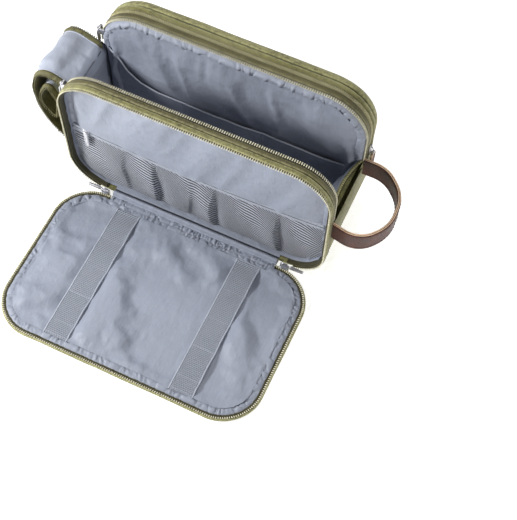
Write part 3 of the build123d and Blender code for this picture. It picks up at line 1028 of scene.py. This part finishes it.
def make_tray_pockets():
    """The tray's satin above the mesh zip, its inner band, its sides, its back and the mesh pocket."""
    upper = Part()

    def upper_face(x, z):
        """Folds that are pinched under the tray's top."""
        edge = np.clip(np.minimum(150 - z, 119 - np.abs(x)) / 8, 0, 1)
        _, top = edge_heights(FRONT, x, 6.0)
        near = np.clip((z - top + 16) / 12, 0, 1)
        fold = satin_folds(131, 3.4, 30.0, -0.4)(x, z) + 1.3 * near * pinches(x, z * 0.6, 4.6, 133)
        return np.minimum(-39.6 - (2.4 + fold) * edge, -39.3)
    panel(upper, FRONT, 6.0, upper_face, low=lambda x: zip_line(x) + 3.4, rows=40)
    sheet = finish(upper.make("tray_upper_satin", SATIN), "bag", "lining", "tray_upper_lining")

    # The frame's inner side is drawn in the darker olive tape colour: painted shade for the shade inside the
    # frame.
    band = Part()
    span = front_path.where(lambda x, z: (z > 6) | (np.abs(x) > 92))
    sweep(band, front_path, section(3.1, 1.9, -48.4, -43.0, 0.3), span=span, shift=soft(14, 142, 0.15))
    finish(band.make("tray_inner_band", CANVAS_TAPE), "bag", "canvas")

    def side_folds(s, points):
        """Small folds round the tray's sides."""
        return 0.6 * noise(s, points[:, 1][None, :], 6, 143) + 0.8, np.zeros((len(s), 12))
    gathers = Part()
    profile = np.column_stack([np.full(12, 2.9), np.linspace(-44.2, -39.3, 12)])
    sweep(gathers, front_path, profile, shift=side_folds, closed=False)
    span = front_path.where(lambda x, z: z > 10)
    gathered(gathers, front_path, span, (3.2, -41.2), (8.5, -40.3), 4.6, 145, -0.8)
    finish(gathers.make("tray_side_satin", SATIN), "bag", "lining")

    backing = Part()
    panel(backing, FRONT, 5.6, level(-38.85), rows=8, step=12)
    finish(backing.make("tray_back_satin", SATIN), "bag", "lining", "tray_back_lining")

    net = Part()
    panel(net, FRONT, 5.0, net_depth, high=lambda x: zip_line(x) - 3.2, rows=60, step=1.3)
    pocket = finish(net.make("mesh_pocket_net", NET), "bag", "mesh", "mesh_pocket")
    make_mesh_zip()


def make_mesh_zip():
    """Two grey tapes and the closed coil between them, sewn on along their outer edges."""
    x = np.linspace(-120.5, 120.5, 200)
    line = smooth_path(np.column_stack([x, zip_line(x)]))
    part = Part()
    for inset in (-2.35, 2.35):
        tape = [(inset + d, y) for d, y in ((-1.7, -40.1), (-1.7, -41.6), (-1.2, -42.0), (1.2, -42.0),
                                           (1.7, -41.6), (1.7, -40.1))]
        sweep(part, line, tape, shift=soft(30, 151, 0.0, 0.25))
    for side in (-1, 1):
        teeth(part, line, side * 0.4, -41.2, (1.0, 0.0), length=1.3, radius=0.45, pitch=1.2, slant=0.5 * side,
              start=0.3 * (side + 1))
    finish(part.make("mesh_zip_tapes", GREY_TAPE, GREY_COIL), "bag", "grey_zip", "mesh_pocket_zip")
    rows = Part()
    for inset in (-3.1, 3.1):
        seam, _ = beside(line, inset, -42.1)
        stitches(rows, seam, (0, -1, 0), 2.8, 2.0, 0.2)
    finish(rows.make("mesh_zip_stitches", GREY_THREAD), "bag", "grey_zip")


# ---------------------------------------------------------------- flap


def make_flap_shell():
    """The flap's canvas, whose edge turns up round the foam, with its half of the flap's zip."""
    part = Part()
    edge = np.array([(3.0, 0.0), (1.2, 0.0), (0.35, 0.35), (0.0, 1.1), (0.0, 2.6), (0.25, 3.3), (0.8, 3.55),
                     (1.5, 3.3), (1.7, 2.4)])
    wear = np.clip(1.2 - np.abs(edge[:, 1] - 3.3), 0, 1) * 0.8
    sweep(part, flap_path, edge, lying, closed=False, shift=soft(19, 161, 0.18, 0.12), wear=wear)
    panel(part, FLAP, 3.0, level(0.0), lying, rows=30, step=6)
    shell = finish(part.make("flap_canvas_shell", CANVAS), "flap", "canvas", "flap_canvas")

    tape = Part()
    right = flap_path.where(lambda x, y: x > HINGE_HALF)[1]
    left = flap_path.where(lambda x, y: x < -HINGE_HALF)[0]
    for span in ((0.0, right), (left, flap_path.length)):
        sweep(tape, flap_path, section(4.9, 1.6, 3.0, 3.9, 0.25), lying, span)
        teeth(tape, flap_path, 1.9, 4.0, (0.75, 0.66), lying, span, length=2.5, radius=0.58)
    finish(tape.make("flap_zip_half", CANVAS_TAPE, COIL), "flap", "zip_tape", "flap_zip_tape")


def apply_modifiers(obj):
    """Gives a piece the mesh that its modifiers make of it."""
    graph = bpy.context.evaluated_depsgraph_get()
    made = bpy.data.meshes.new_from_object(obj.evaluated_get(graph), preserve_all_data_layers=True,
                                           depsgraph=graph)
    obj.modifiers.clear()
    obj.data = made


def relax_cloth(obj, spare, frames):
    """Lets a sheet with a pinned border, cut larger than its frame, settle into its own wrinkles."""
    first_pushes = np.random.default_rng(7).random(len(obj.data.vertices)) * 0.0005
    for v, push in zip(obj.data.vertices, first_pushes):
        v.co.z += push
    cloth = obj.modifiers.new("Cloth", "CLOTH")
    s = cloth.settings
    s.quality = 5
    s.mass = 0.08
    s.tension_stiffness = s.compression_stiffness = 12
    s.shear_stiffness = 6
    s.bending_stiffness = 0.08
    s.air_damping = 4
    s.effector_weights.gravity = 0.0
    s.shrink_min = -spare
    s.vertex_group_mass = "pinned"
    cloth.collision_settings.use_collision = False
    for f in range(1, frames + 1):
        bpy.context.scene.frame_set(f)
    apply_modifiers(obj)
    bpy.context.scene.frame_set(1)


def pin(obj, keep):
    """Marks the points of a sheet that its seams hold; keep(x, y) says where, in millimetres."""
    group = obj.vertex_groups.new(name="pinned")
    for v in obj.data.vertices:
        group.add([v.index], float(keep(v.co.x / MM, v.co.y / MM)), "REPLACE")


def make_flap_lining():
    """The flap's satin: a sheet held by the hem and by the straps' seams, which wrinkles between them."""
    part = Part()
    base = 3.6
    panel(part, FLAP, 10.0, level(base), lying, rows=44, step=3.2)
    obj = part.make("flap_satin", SATIN)
    low, high = FLAP[3] + 12.5, FLAP_TOP - 12.5

    def held(x, y):
        """Along the hem, and where the straps are sewn down."""
        bottom, top = edge_heights(FLAP, np.array([x]), 10.0)
        on_edge = abs(x) > 114.8 or y < bottom[0] + 1.5 or y > top[0] - 1.5
        on_strap = min(abs(abs(x) - STRAP_MIDDLE - k) for k in (-10, 10)) < 2.0
        return on_edge or (on_strap and min(abs(y - row) for row in STRAP_ROWS) < 2.5)
    pin(obj, held)
    relax_cloth(obj, 0.06, 26)
    x, y, settled = np.array([v.co for v in obj.data.vertices]).T * 1000
    under = np.exp(-(np.maximum(np.abs(np.abs(x) - STRAP_MIDDLE) - 11.5, 0) / 5.0) ** 2)
    under *= (y < high) & (y > low)
    top = 9.8 * (1 - under) + 4.3 * under
    lift = settled - base
    lift = np.where(lift > 0, 0.75 * lift, 0.3 * lift)
    rim = np.minimum(np.minimum(y - low, high - y), 114 - np.abs(x))
    extra = (8.5 * noise(x + 0.6 * y, y * 0.7, 31, 181) + 2.0 * noise(x - 0.5 * y, y, 17, 183)
             + 0.15 * noise(x, y, 7, 182)) * np.clip(rim / 12, 0.12, 1)
    z = np.clip(5.4 + lift + extra * (1 - 0.85 * under) - 1.2 * under, 3.05, top)
    for v, height in zip(obj.data.vertices, z):
        v.co.z = height * MM
    smoother = obj.modifiers.new("Smooth", "SUBSURF")
    smoother.levels = smoother.render_levels = 1
    apply_modifiers(obj)
    finish(obj, "flap", "lining", "flap_lining")


def make_flap_hem():
    """The gathered strip of lining between the zip's tape and the flap's smooth middle."""
    part = Part()
    t = np.linspace(0, 1, 12)
    profile = np.column_stack([4.3 + 7.9 * t, 3.8 + 1.5 * np.sin(math.pi * t) ** 0.6])

    def puckered(s, points):
        """Ruffles all round, strongest beside the hinge."""
        place, out = flap_path.at(s[:, 0])
        x = place[:, :1] - points[:, 0] * out[:, :1]
        y = place[:, 1:] - points[:, 0] * out[:, 1:]
        near = np.clip((y + 90) / 25, 0.9, 1.5)
        lift = np.sin(math.pi * np.clip(t, 0.02, 1))[None, :] ** 0.7
        beat = pinches(s, t[None, :] * 7, 3.3, 192)
        return 0.5 * noise(s, 0, 13, 193) * lift, near * beat * 1.1 * lift + 0.2 * noise(x, y, 2.4, 194)
    sweep(part, flap_path, profile, lying, step=0.8, shift=puckered, closed=False)
    finish(part.make("flap_hem_gathers", SATIN), "flap", "lining", "flap_hem")
    rows = Part()
    line, _ = beside(flap_path, 11.2, 4.75, plane=lying)
    stitches(rows, line, (0, 0, 1), 2.9, 2.1, 0.2)
    finish(rows.make("flap_hem_stitches", GREY_THREAD), "flap", "lining")


def make_elastic(name, middle, node):
    """An elastic strap sewn down in rows, which stands up a little between them, its edges turned under."""
    across = np.concatenate([np.linspace(-11.75, -9.6, 5), np.linspace(-9.0, 9.0, 11),
                             np.linspace(9.6, 11.75, 5)])
    along = np.linspace(STRAP_ROWS[-1] - 2.5, STRAP_ROWS[0] + 2.5, 150)
    gap = np.min(np.abs(along[:, None] - np.array(STRAP_ROWS)), axis=1)
    loop = np.clip(gap / 12.0, 0, 1) ** 0.6
    wave = 5.0 + 1.5 * loop + 0.12 * noise(along, 0, 9, 201)
    edge = 0.55 * np.exp(-((np.abs(across) - 11.0) / 0.7) ** 2)
    selvedge = [int(abs(a + b) / 2 > 10.6) for a, b in zip(across, across[1:])]
    part = Part()
    for lift, flip in ((0.0, 1), (-0.75, -1)):
        z = wave[:, None] + edge * flip + lift
        x = middle + across * (1 - 0.02 * loop[:, None])
        add_lattice(part, spots(x, along[:, None], z), along, across, selvedge)
    for side in (0, -1):
        z = np.column_stack([wave + edge[side], wave - 0.75 - edge[side]])
        add_lattice(part, spots(middle + across[side], along[:, None], z), along, [0, 0.8], 1)
    finish(part.make(name, WEBBING, GREY_THREAD), "flap", "webbing", node)
    rows = Part()
    for y in STRAP_ROWS:
        stitches(rows, spots(middle + np.linspace(-11, 11, 40), y, 5.1), (0, 0, 1), 2.4, 1.8, 0.3)
    for x in (-9.2, -10.9, 9.2, 10.9):
        stitches(rows, spots(middle + x, along, wave + 0.12), (0, 0, 1), 2.6, 2.2, 0.2)
    finish(rows.make(name + "_stitches", GREY_THREAD), "flap", "webbing")


def make_hinge():
    """The strip of lining that joins the flap to the tray and folds between them."""
    part = Part()
    x = np.linspace(-83.5, 83.5, 220)
    line = np.array([(-42.6, 6.2), (-45.0, 6.1), (-46.4, 5.9), (-47.8, 5.9), (-48.5, 7.0), (-49.6, 8.3),
                     (-51.0, 8.5), (-52.3, 7.2), (-53.1, 5.0), (-53.8, 4.6), (-54.6, 5.4), (-56.0, 5.9),
                     (-57.6, 5.9), (-59.4, 5.4)])
    t = np.linspace(0, len(line) - 1, 48)
    y, z = each_column(t, range(len(line)), line).T
    smooth = 0.25 * noise(x[:, None], y, 11, 212)
    rough = 1.1 * pinches(x[:, None], y[None, :] * 0.6, 3.4, 211)
    pucker = smooth + rough * np.clip((-53.8 - y) / 1.5, 0, 1) * np.clip((y + 59.8) / 1.5, 0, 1)
    # The rows along the seam groove take the dark seam tape: painted shade in the groove.
    groove = [int(-48.0 < (a + b) / 2 < -46.2) for a, b in zip(y, y[1:])]
    for drop in (0.0, -0.7):
        add_lattice(part, spots(x[:, None], y, z + pucker + drop), x, y, groove)
    obj = part.make("flap_hinge_satin", SATIN, SEAM_SHADE_TAPE)
    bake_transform(obj)
    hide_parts("flap_hinge_strip")
    under = Part()
    y = np.linspace(-47.0, -57.0, 16)
    z = 0.9 + 1.1 * np.exp(-((y + 52) / 2.5) ** 2)
    add_lattice(under, spots(x[:, None], y, z + 0.1 * pucker[:, :1]), x, y)
    obj = under.make("flap_hinge_canvas", CANVAS)
    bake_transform(obj)


# ---------------------------------------------------------------- lid


LID_TURNS = [158, 247, 275, 312, 450, 473, 602, 666, 802]      # each panel's direction in degrees
LID_LENGTHS = [30.5, 28.7, 43.5, 43.5, 43.5, 43.5, 28.7, 28.7, 27.0]
LID_SIDES = (-32.3, 25.2)
LINING_SIDES = (-26.6, 19.5)


def lid_corners():
    """The rolled lid's fold points in order, from inside the left end panel to its tip."""
    point = np.array([-124.5, 118.0])
    corners = [point - (0.0, 7.5), point]
    for turn, length in zip(LID_TURNS, LID_LENGTHS):
        way = math.radians(turn)
        point = point + length * np.array([math.cos(way), math.sin(way)])
        corners.append(point)
    return corners


def lid_path(corners):
    """The same line with its folds rounded off over the last few millimetres of each segment."""
    radii = []
    for a, b, c in zip(corners, corners[1:], corners[2:]):
        u, v = (a - b) / np.linalg.norm(a - b), (c - b) / np.linalg.norm(c - b)
        half = math.acos(float(np.clip(u @ v, -1, 1))) / 2
        room = min(np.linalg.norm(a - b), np.linalg.norm(c - b))
        back = 0.47 * room if half > 0.7 else 7.0
        radii.append(back * math.tan(half))
    return filleted([tuple(c) for c in corners], radii)


def lid_canvas(path, span):
    """A length of the lid's outside."""
    part = Part()
    profile = section(1.05, 0.12, *LID_SIDES, 0.3, 0.0, 12)
    sweep(part, path, profile, span=span, step=1.2, shift=soft(15, 221, 0.18))
    # The lid's canvas is the darker copy: painted shade.
    return part.make("lid_canvas", SHADED_LID_CANVAS), "canvas"


def lid_lining(path, span):
    """A length of the lid's satin, with a cord along both sides and, near the hinge, a seam across it."""
    part = Part()
    low, high = LINING_SIDES
    profile = np.column_stack([np.full(28, -0.75), np.linspace(low, high, 28)])

    def pucker(s, points):
        """Loose folds, which are pinched near the hinge."""
        y = points[:, 1][None, :]
        edge = np.clip(np.minimum(y - low, high - y) / 9, 0, 1)
        pinched = 0.9 * pinches(y, s * 0.15, 7.0, 232) * np.clip(1 - np.abs(s - 14) / 16, 0, 1)
        puff = 2.0 * noise(s, y, 16, 231) + pinched
        return -np.maximum(1.4 + puff, 0.1) * edge - 0.15 * noise(s, y, 2.6, 233), np.zeros_like(puff)
    sweep(part, path, profile, span=span, step=0.9, shift=pucker, closed=False)
    for y in (-26.4, 19.3):
        sweep(part, path, circle(-0.85, y, 0.55, 9), span=span, step=1.2, kind=1)
    # The seam across the lid's lining is a thin tube in the dark seam tape: painted shade along the seam.
    if span[0] == 0:
        place, out = path.at(np.full(30, 3.5))
        across, up = (place + 2.35 * out).T
        tube(part, upright(across, up, np.linspace(-26.0, 19.0, 30)), 0.4, 6, 2)
    return part.make("lid_lining", LIT_SATIN, GREY_THREAD, SEAM_SHADE_TAPE), "lining"


def lid_zip(path, span):
    """A length of the lid's two zip tapes, with their teeth and stitches."""
    part = Part()
    for low, high, tooth, lean in ((-32.2, -26.4, -32.4, -1.0), (19.3, 25.1, 25.3, 1.0)):
        profile = section(0.1, -0.9, low, high, 0.3, 1.3)
        sweep(part, path, profile, span=span, step=1.2, shift=soft(12, 241, 0.15))
        teeth(part, path, -0.25, tooth, (0.1, lean), span=span)
    for y in (-29.4, 22.4):
        line, out = beside(path, -2.2, y, span)
        stitches(part, line, out, 3.0, 2.2, 0.22, kind=2)
    # The tapes are in the lid's darker canvas: painted shade.
    return part.make("lid_zip", SHADED_LID_CANVAS, LID_COIL, OLIVE_THREAD), "zip_tape"


def bend_end(pivot, towards):
    """Where the cloth's bend about a fold ends on one side, in metres."""
    end = pivot + 6.0 * (towards - pivot) / np.linalg.norm(towards - pivot)
    return upright(end[0], end[1], 0.0) * MM


def make_lid():
    """The lid, in lengths that each cross one fold, standing for the CAD's nine lid panels; only the last
    length rides on a lid body.
    """
    corners = lid_corners()
    path = lid_path(corners)

    def nearest(point):
        """The length along the path that is nearest to a point."""
        return path.along[np.argmin(np.linalg.norm(path.points - point, axis=1))]
    middles = [nearest((a + b) / 2) for a, b in zip(corners[1:], corners[2:])]
    cuts = [0.0] + middles + [path.length]
    bodies = ["bag"] + [f"lid_{k}" for k in range(1, 10)]
    for k in range(10):
        span = (cuts[k], cuts[k + 1])
        for make in (lid_canvas, lid_lining, lid_zip):
            obj, slot = make(path, span)
            obj.name = f"{make.__name__}_{k + 1}"
            if k < 9:
                start, end = (tuple(bend_end(corners[k + 1], corners[n])) for n in (k, k + 2))
                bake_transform(obj)
            else:
                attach(obj, bodies[k])
            if make is lid_canvas and k:
                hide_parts(f"lid_panel_{k}")


# ---------------------------------------------------------------- leather strap


def make_handle():
    """A leather strap whose two ends are sewn into the end's seams, its cut edges left pale."""
    path = filleted([(120, -39), (152, -45), (172, -20), (170, 12), (148, 33), (120, 33)], [26, 34, 34, 30])
    low, high = 67.0, 89.0
    face = np.linspace(low + 1.0, high - 1.0, 12)
    outer = [(-0.12 * math.sin(math.pi * (z - low) / 22), z) for z in face]
    inner = [(3.0, z) for z in face[::-1]]
    over = [(0.15, high - 0.35), (0.5, high), (1.05, high), (1.25, high - 0.22), (1.75, high - 0.22),
            (1.95, high), (2.5, high), (2.85, high - 0.35)]
    under = [(d, low + high - z) for d, z in over[::-1]]
    profile = np.array(outer + over + inner + under)
    inset, z = ((profile + np.roll(profile, -1, axis=0)) / 2).T
    edge = (np.abs(z - (low + high) / 2) > 10.2) & (np.abs(np.abs(inset - 1.5) - 0.7) < 0.36)
    start, end = path.where(lambda x, y: x > 124.6)

    def sway(s, points):
        """The strap wanders a little along its length."""
        return 0.25 * noise(s, 0, 34, 251) + 0 * points[:, 0], 0.5 * noise(s, 0, 60, 252) + 0 * points[:, 1]
    part = Part()
    sweep(part, path, profile, lying, (start, end), 1.5, sway, kind=[int(e) for e in edge])
    finish(part.make("strap_leather", LEATHER, LEATHER_EDGE), "bag", "leather", "handle")
    rows = Part()
    for z in (low + 2.4, high - 2.4):
        for inset, turn in ((-0.1, 1.0), (3.1, -1.0)):
            line, out = beside(path, inset, z, (start, end), lying)
            stitches(rows, line, out * turn, 3.4, 2.5, 0.26)
    finish(rows.make("strap_stitches", BROWN_THREAD), "bag", "leather")


# ---------------------------------------------------------------- metal


def block(part, low, high, radius):
    """A block with rounded edges between two corners."""
    low, high = np.array(low, float), np.array(high, float)
    made = bmesh.new()
    bmesh.ops.create_cube(made, size=1.0)
    bmesh.ops.scale(made, vec=Vector(high - low), verts=made.verts)
    bmesh.ops.bevel(made, geom=list(made.edges), offset=radius, segments=3, profile=0.6, affect="EDGES")
    bmesh.ops.translate(made, vec=Vector((low + high) / 2), verts=made.verts)
    made.verts.index_update()
    verts = np.array([v.co[:] for v in made.verts])
    faces = [tuple(v.index for v in f.verts) for f in made.faces]
    made.free()
    part.add(verts, faces)


def tube(part, points, radius, sides=10, kind=0):
    """A round bar along a line of points."""
    points = np.array(points, float)
    way = np.gradient(points, axis=0)
    way /= np.linalg.norm(way, axis=1, keepdims=True)
    side = np.cross(way[0], (0.3, 0.5, 0.81))
    rings = []
    for point, ahead in zip(points, way):
        side = side - ahead * (side @ ahead)
        side /= np.linalg.norm(side)
        up = np.cross(ahead, side)
        turn = np.linspace(0, 2 * math.pi, sides, endpoint=False)
        rings.append(point + radius * (np.cos(turn)[:, None] * side + np.sin(turn)[:, None] * up))
    rings = np.array(rings)
    faces, _ = grid(rings, range(len(points)), range(sides + 1), True)
    faces += [tuple(range(sides)), tuple(range((len(points) - 1) * sides, len(points) * sides))]
    part.add(rings, faces, kind=kind)


def arch(low, high, rise, out):
    """Points of a half loop from one place to another, which stands out along a direction."""
    low, high, out = np.array(low, float), np.array(high, float), np.array(out, float)
    t = np.linspace(0, math.pi, 14)
    return [(low + high) / 2 - (high - low) / 2 * math.cos(a) + out * rise * math.sin(a) ** 0.8 for a in t]


def tab(part, low, high, thin):
    """A flat pull between two corners, thin along one axis, with a raised line round both faces."""
    axes = [k for k in range(3) if k != thin]
    size = (high - low)[axes]
    long = int(size[1] >= size[0])
    centre = (low + high) / 2

    def plane(across, up, depth):
        """The pull's outline runs along its longer side."""
        out = np.zeros(np.broadcast(across, up, depth).shape + (3,))
        out[..., axes[0]] = centre[axes[0]] + (across if long else up)
        out[..., axes[1]] = centre[axes[1]] + (up if long else across)
        out[..., thin] = depth
        return out
    width, length = (size[0], size[1]) if long else (size[1], size[0])
    radius = min(1.2, width * 0.49)
    shape = (width, length, radius, -length / 2)
    a, b = low[thin], high[thin]
    bevel = 0.25
    rim = [(bevel, a), (0.0, a + bevel), (0.0, b - bevel), (bevel, b)]
    sweep(part, rounded(*shape), rim, plane, step=0.6, closed=False)
    for depth in (a, b):
        panel(part, shape, bevel, level(depth), plane, rows=14, step=0.8)
    raised = rounded(width - 1.6, length - 1.6, radius - 0.6, -length / 2 + 0.8)
    for depth, lift in ((a, -0.22), (b, 0.22)):
        ridge = [(0.0, depth), (0.2, depth + lift), (0.45, depth + lift), (0.65, depth)]
        sweep(part, raised, ridge, plane, step=0.6, closed=False)


def corners_of(node):
    """A CAD node's lowest and highest corners in millimetres."""
    low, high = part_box(node)
    return np.array(low) * 1000, np.array(high) * 1000


def slider(name, node, pull_node, blocks, loop, grow, thin):
    """A slider's body of blocks with a loop on it, and its flat pull, grown a little from the CAD's."""
    part = Part()
    for low, high, radius in blocks:
        block(part, low, high, radius)
    *ends, radius = loop
    tube(part, arch(*ends), radius)
    finish(part.make(name + "_body", METAL), node, "metal", node)
    pull = Part()
    low, high = corners_of(pull_node)
    tab(pull, low - grow[0], high + grow[1], thin)
    finish(pull.make(name + "_tab", METAL), pull_node, "metal", pull_node)


def make_main_sliders():
    """The main zip's two sliders, whose loops face left."""
    for node in ("main_slider_rear", "main_slider_front"):
        (x, y, z), (_, far, top) = corners_of(node)
        blocks = [((x - 0.1, y + 0.2, z + 0.4), (x + 1.9, far - 0.2, top - 0.4), 0.6),
                  ((x + 1.5, y + 0.4, z + 1.2), (x + 5.8, y + 2.0, top - 1.2), 0.5),
                  ((x + 5.2, y + 0.4, z + 0.8), (x + 6.8, far - 0.6, top - 0.8), 0.5)]
        middle = (y + far) / 2
        loop = ((x, middle, z + 1.2), (x, middle, top - 1.4), 1.9, (-1, 0, 0), 0.55)
        slider(node, node, node + "_pull", blocks, loop, ((0, 0, 0), (0, 0, 0)), 0)


def make_flap_sliders():
    """The flap zip's two sliders, on the flap beside the hinge."""
    for node in ("flap_slider_left", "flap_slider_right"):
        (x, y, z), (end, far, top) = corners_of(node)
        blocks = [((x, y - 0.9, z + 0.2), (end, far, top + 0.2), 0.65),
                  ((x + 1.2, y - 3.2, top - 2.6), (end - 1.2, far - 0.2, top - 0.6), 0.6)]
        middle = (y + far) / 2
        loop = ((x + 1.4, middle, top), (end - 1.4, middle, top), 1.5, (0, 0, 1), 0.6)
        slider(node, node, node + "_pull", blocks, loop, ((0, 0.5, 0.6), (0, 0.2, 0.8)), 1)


def make_mesh_slider():
    """The mesh pocket's small slider."""
    (x, y, z), (end, far, top) = corners_of("mesh_zip_slider")
    blocks = [((x + 0.6, y + 0.2, z + 1.2), (end - 0.4, far, top - 1.4), 0.55)]
    middle = (z + top) / 2
    loop = ((x + 1.6, y + 0.3, middle), (end - 1.2, y + 0.3, middle), 1.4, (0, -1, 0), 0.5)
    slider("mesh_slider", "mesh_zip_slider", "mesh_zip_pull", blocks, loop, ((0.3, 0, 0), (0.3, 0.1, 0)), 1)


def make_rear_slider():
    """The rear pocket's slider, with a round ring through its loop that carries a leather pull."""
    low, high = corners_of("rear_pocket_slider")
    part = Part()
    block(part, (low[0] - 0.6, low[1] + 0.5, low[2]), (low[0] + 1.6, high[1] - 0.5, high[2]), 0.6)
    y = (low[1] + high[1]) / 2
    loop = arch((low[0] + 1.2, y, low[2] + 1.0), (low[0] + 1.2, y, high[2] - 1.0), 2.4, (1, 0, 0))
    tube(part, loop, 0.65)
    finish(part.make("rear_slider_body", METAL), "rear_pocket_slider", "metal", "rear_pocket_slider")
    ring = [(low[0] + 3.6 + 1.1 * math.sin(a), y + 2.0 * math.cos(a), low[2] + 0.4 + 2.6 * math.sin(a))
            for a in np.linspace(0, 2 * math.pi, 24)]

    low, high = corners_of("rear_pocket_pull")
    pull = Part()
    tube(pull, ring, 0.6, kind=2)
    shape = (high[1] - low[1], high[2] - low[2] - 3.0, 3.2, low[2])
    outline = rounded(*shape)
    middle = (low[1] + high[1]) / 2

    def plane(across, up, depth):
        """The pull hangs in planes of constant X."""
        return spots(depth, across + middle, up)
    a, b = low[0], high[0]
    rim = [(0.3, a), (0.0, a + 0.3), (0.0, b - 0.3), (0.3, b)]
    sweep(pull, outline, rim, plane, step=1.0, closed=False, kind=1)
    for depth in (a, b):
        panel(pull, shape, 0.3, lambda x, z: depth + 0.05 * noise(x, z, 5, 261), plane, rows=24, step=1.2)
    line, _ = beside(outline, 1.5, b + 0.05, plane=plane)
    stitches(pull, line, (1, 0, 0), 2.6, 1.9, 0.22, kind=3)
    finish(pull.make("rear_pull_leather", LEATHER, LEATHER_EDGE, METAL, BROWN_THREAD), "rear_pocket_pull",
           "leather", "rear_pocket_pull")


# ---------------------------------------------------------------- the rest


def dress_hidden_nodes():
    """CAD nodes inside the cloth keep their shapes and get materials."""
    for material, nodes in ((FOAM, ("back_foam", "flap_foam")), (SATIN, ("rear_pocket_lining",)),
                            (BOARD, ("base_board", "rear_divider", "divider_board"))):
        for node in nodes:
            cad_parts[node].data.materials.clear()
            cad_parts[node].data.materials.append(material)


def make_stage():
    """A white floor, a pale surround, a low lamp at the left and softer ones above and to the right."""
    mesh = bpy.data.meshes.new("floor")
    corners = [(x, y, -0.0004) for x, y in ((-4, -4), (4, -4), (4, 4), (-4, 4))]
    mesh.from_pydata(corners, [], [(0, 1, 2, 3)])
    mesh.materials.append(FLOOR)
    placed("floor", mesh)
    world = bpy.data.worlds.new("studio")
    world.use_nodes = True
    light = world.node_tree.nodes["Background"].inputs
    light["Color"].default_value = (1.0, 1.0, 1.0, 1.0)
    light["Strength"].default_value = 0.12
    bpy.context.scene.world = world
    for name, place, aim, size, power in (("key", (-0.64, -0.48, 0.50), (0, -0.05, 0.05), 0.18, 8.3),
                                          ("top", (-0.1, 0.4, 1.45), (0, -0.05, 0.05), 0.5, 7.5),
                                          ("side", (1.1, -0.1, 0.5), (0, 0, 0.06), 0.4, 3.6)):
        lamp = bpy.data.lights.new(name, "AREA")
        lamp.size = size
        lamp.energy = power
        obj = placed(name, lamp)
        obj.location = place
        obj.rotation_euler = (Vector(aim) - Vector(place)).to_track_quat("-Z", "Y").to_euler()


def make_camera():
    """The camera stands in front, a little to the right and well above, turned slightly on its axis."""
    azimuth, elevation, roll = math.radians(22.7), math.radians(62.6), math.radians(2.5)
    back = Vector((math.sin(azimuth) * math.cos(elevation), -math.cos(azimuth) * math.cos(elevation),
                   math.sin(elevation)))
    right = Vector((math.cos(azimuth), math.sin(azimuth), 0.0))
    up = back.cross(right)
    aim = Vector((0.0, -0.020, 0.060)) + right * 0.0482 - up * 0.0783
    x = right * math.cos(roll) + up * math.sin(roll)
    y = -right * math.sin(roll) + up * math.cos(roll)
    data = bpy.data.cameras.new("camera")
    data.sensor_width = 36.0
    data.lens = 1105.3 / 520 * 36       # a focal length of 1105.3 for a picture 520 high
    obj = placed("camera", data)
    obj.matrix_world = Matrix((x, y, back)).transposed().to_4x4()
    distance = 0.9784
    obj.location = aim + back * distance
    bpy.context.scene.camera = obj
    bpy.context.scene.view_settings.view_transform = "Standard"


make_back()
make_patch()
make_rear_bands()
make_main_zip()
make_gussets()
make_end("left_end_canvas", -1, HINGE_LEFT - 2, "left_end_panel")
make_end("right_end_canvas", 1, RIGHT_END, "right_end_panel")
make_end_hem()
make_main_lining()
make_slip_pockets()
make_front_frame()
make_tray_pockets()
make_flap_shell()
make_flap_lining()
make_flap_hem()
make_elastic("strap_left", -STRAP_MIDDLE, "elastic_strap_left")
make_elastic("strap_right", STRAP_MIDDLE, "elastic_strap_right")
make_hinge()
make_lid()
make_handle()
make_main_sliders()
make_flap_sliders()
make_rear_slider()
make_mesh_slider()
dress_hidden_nodes()
make_stage()
make_camera()
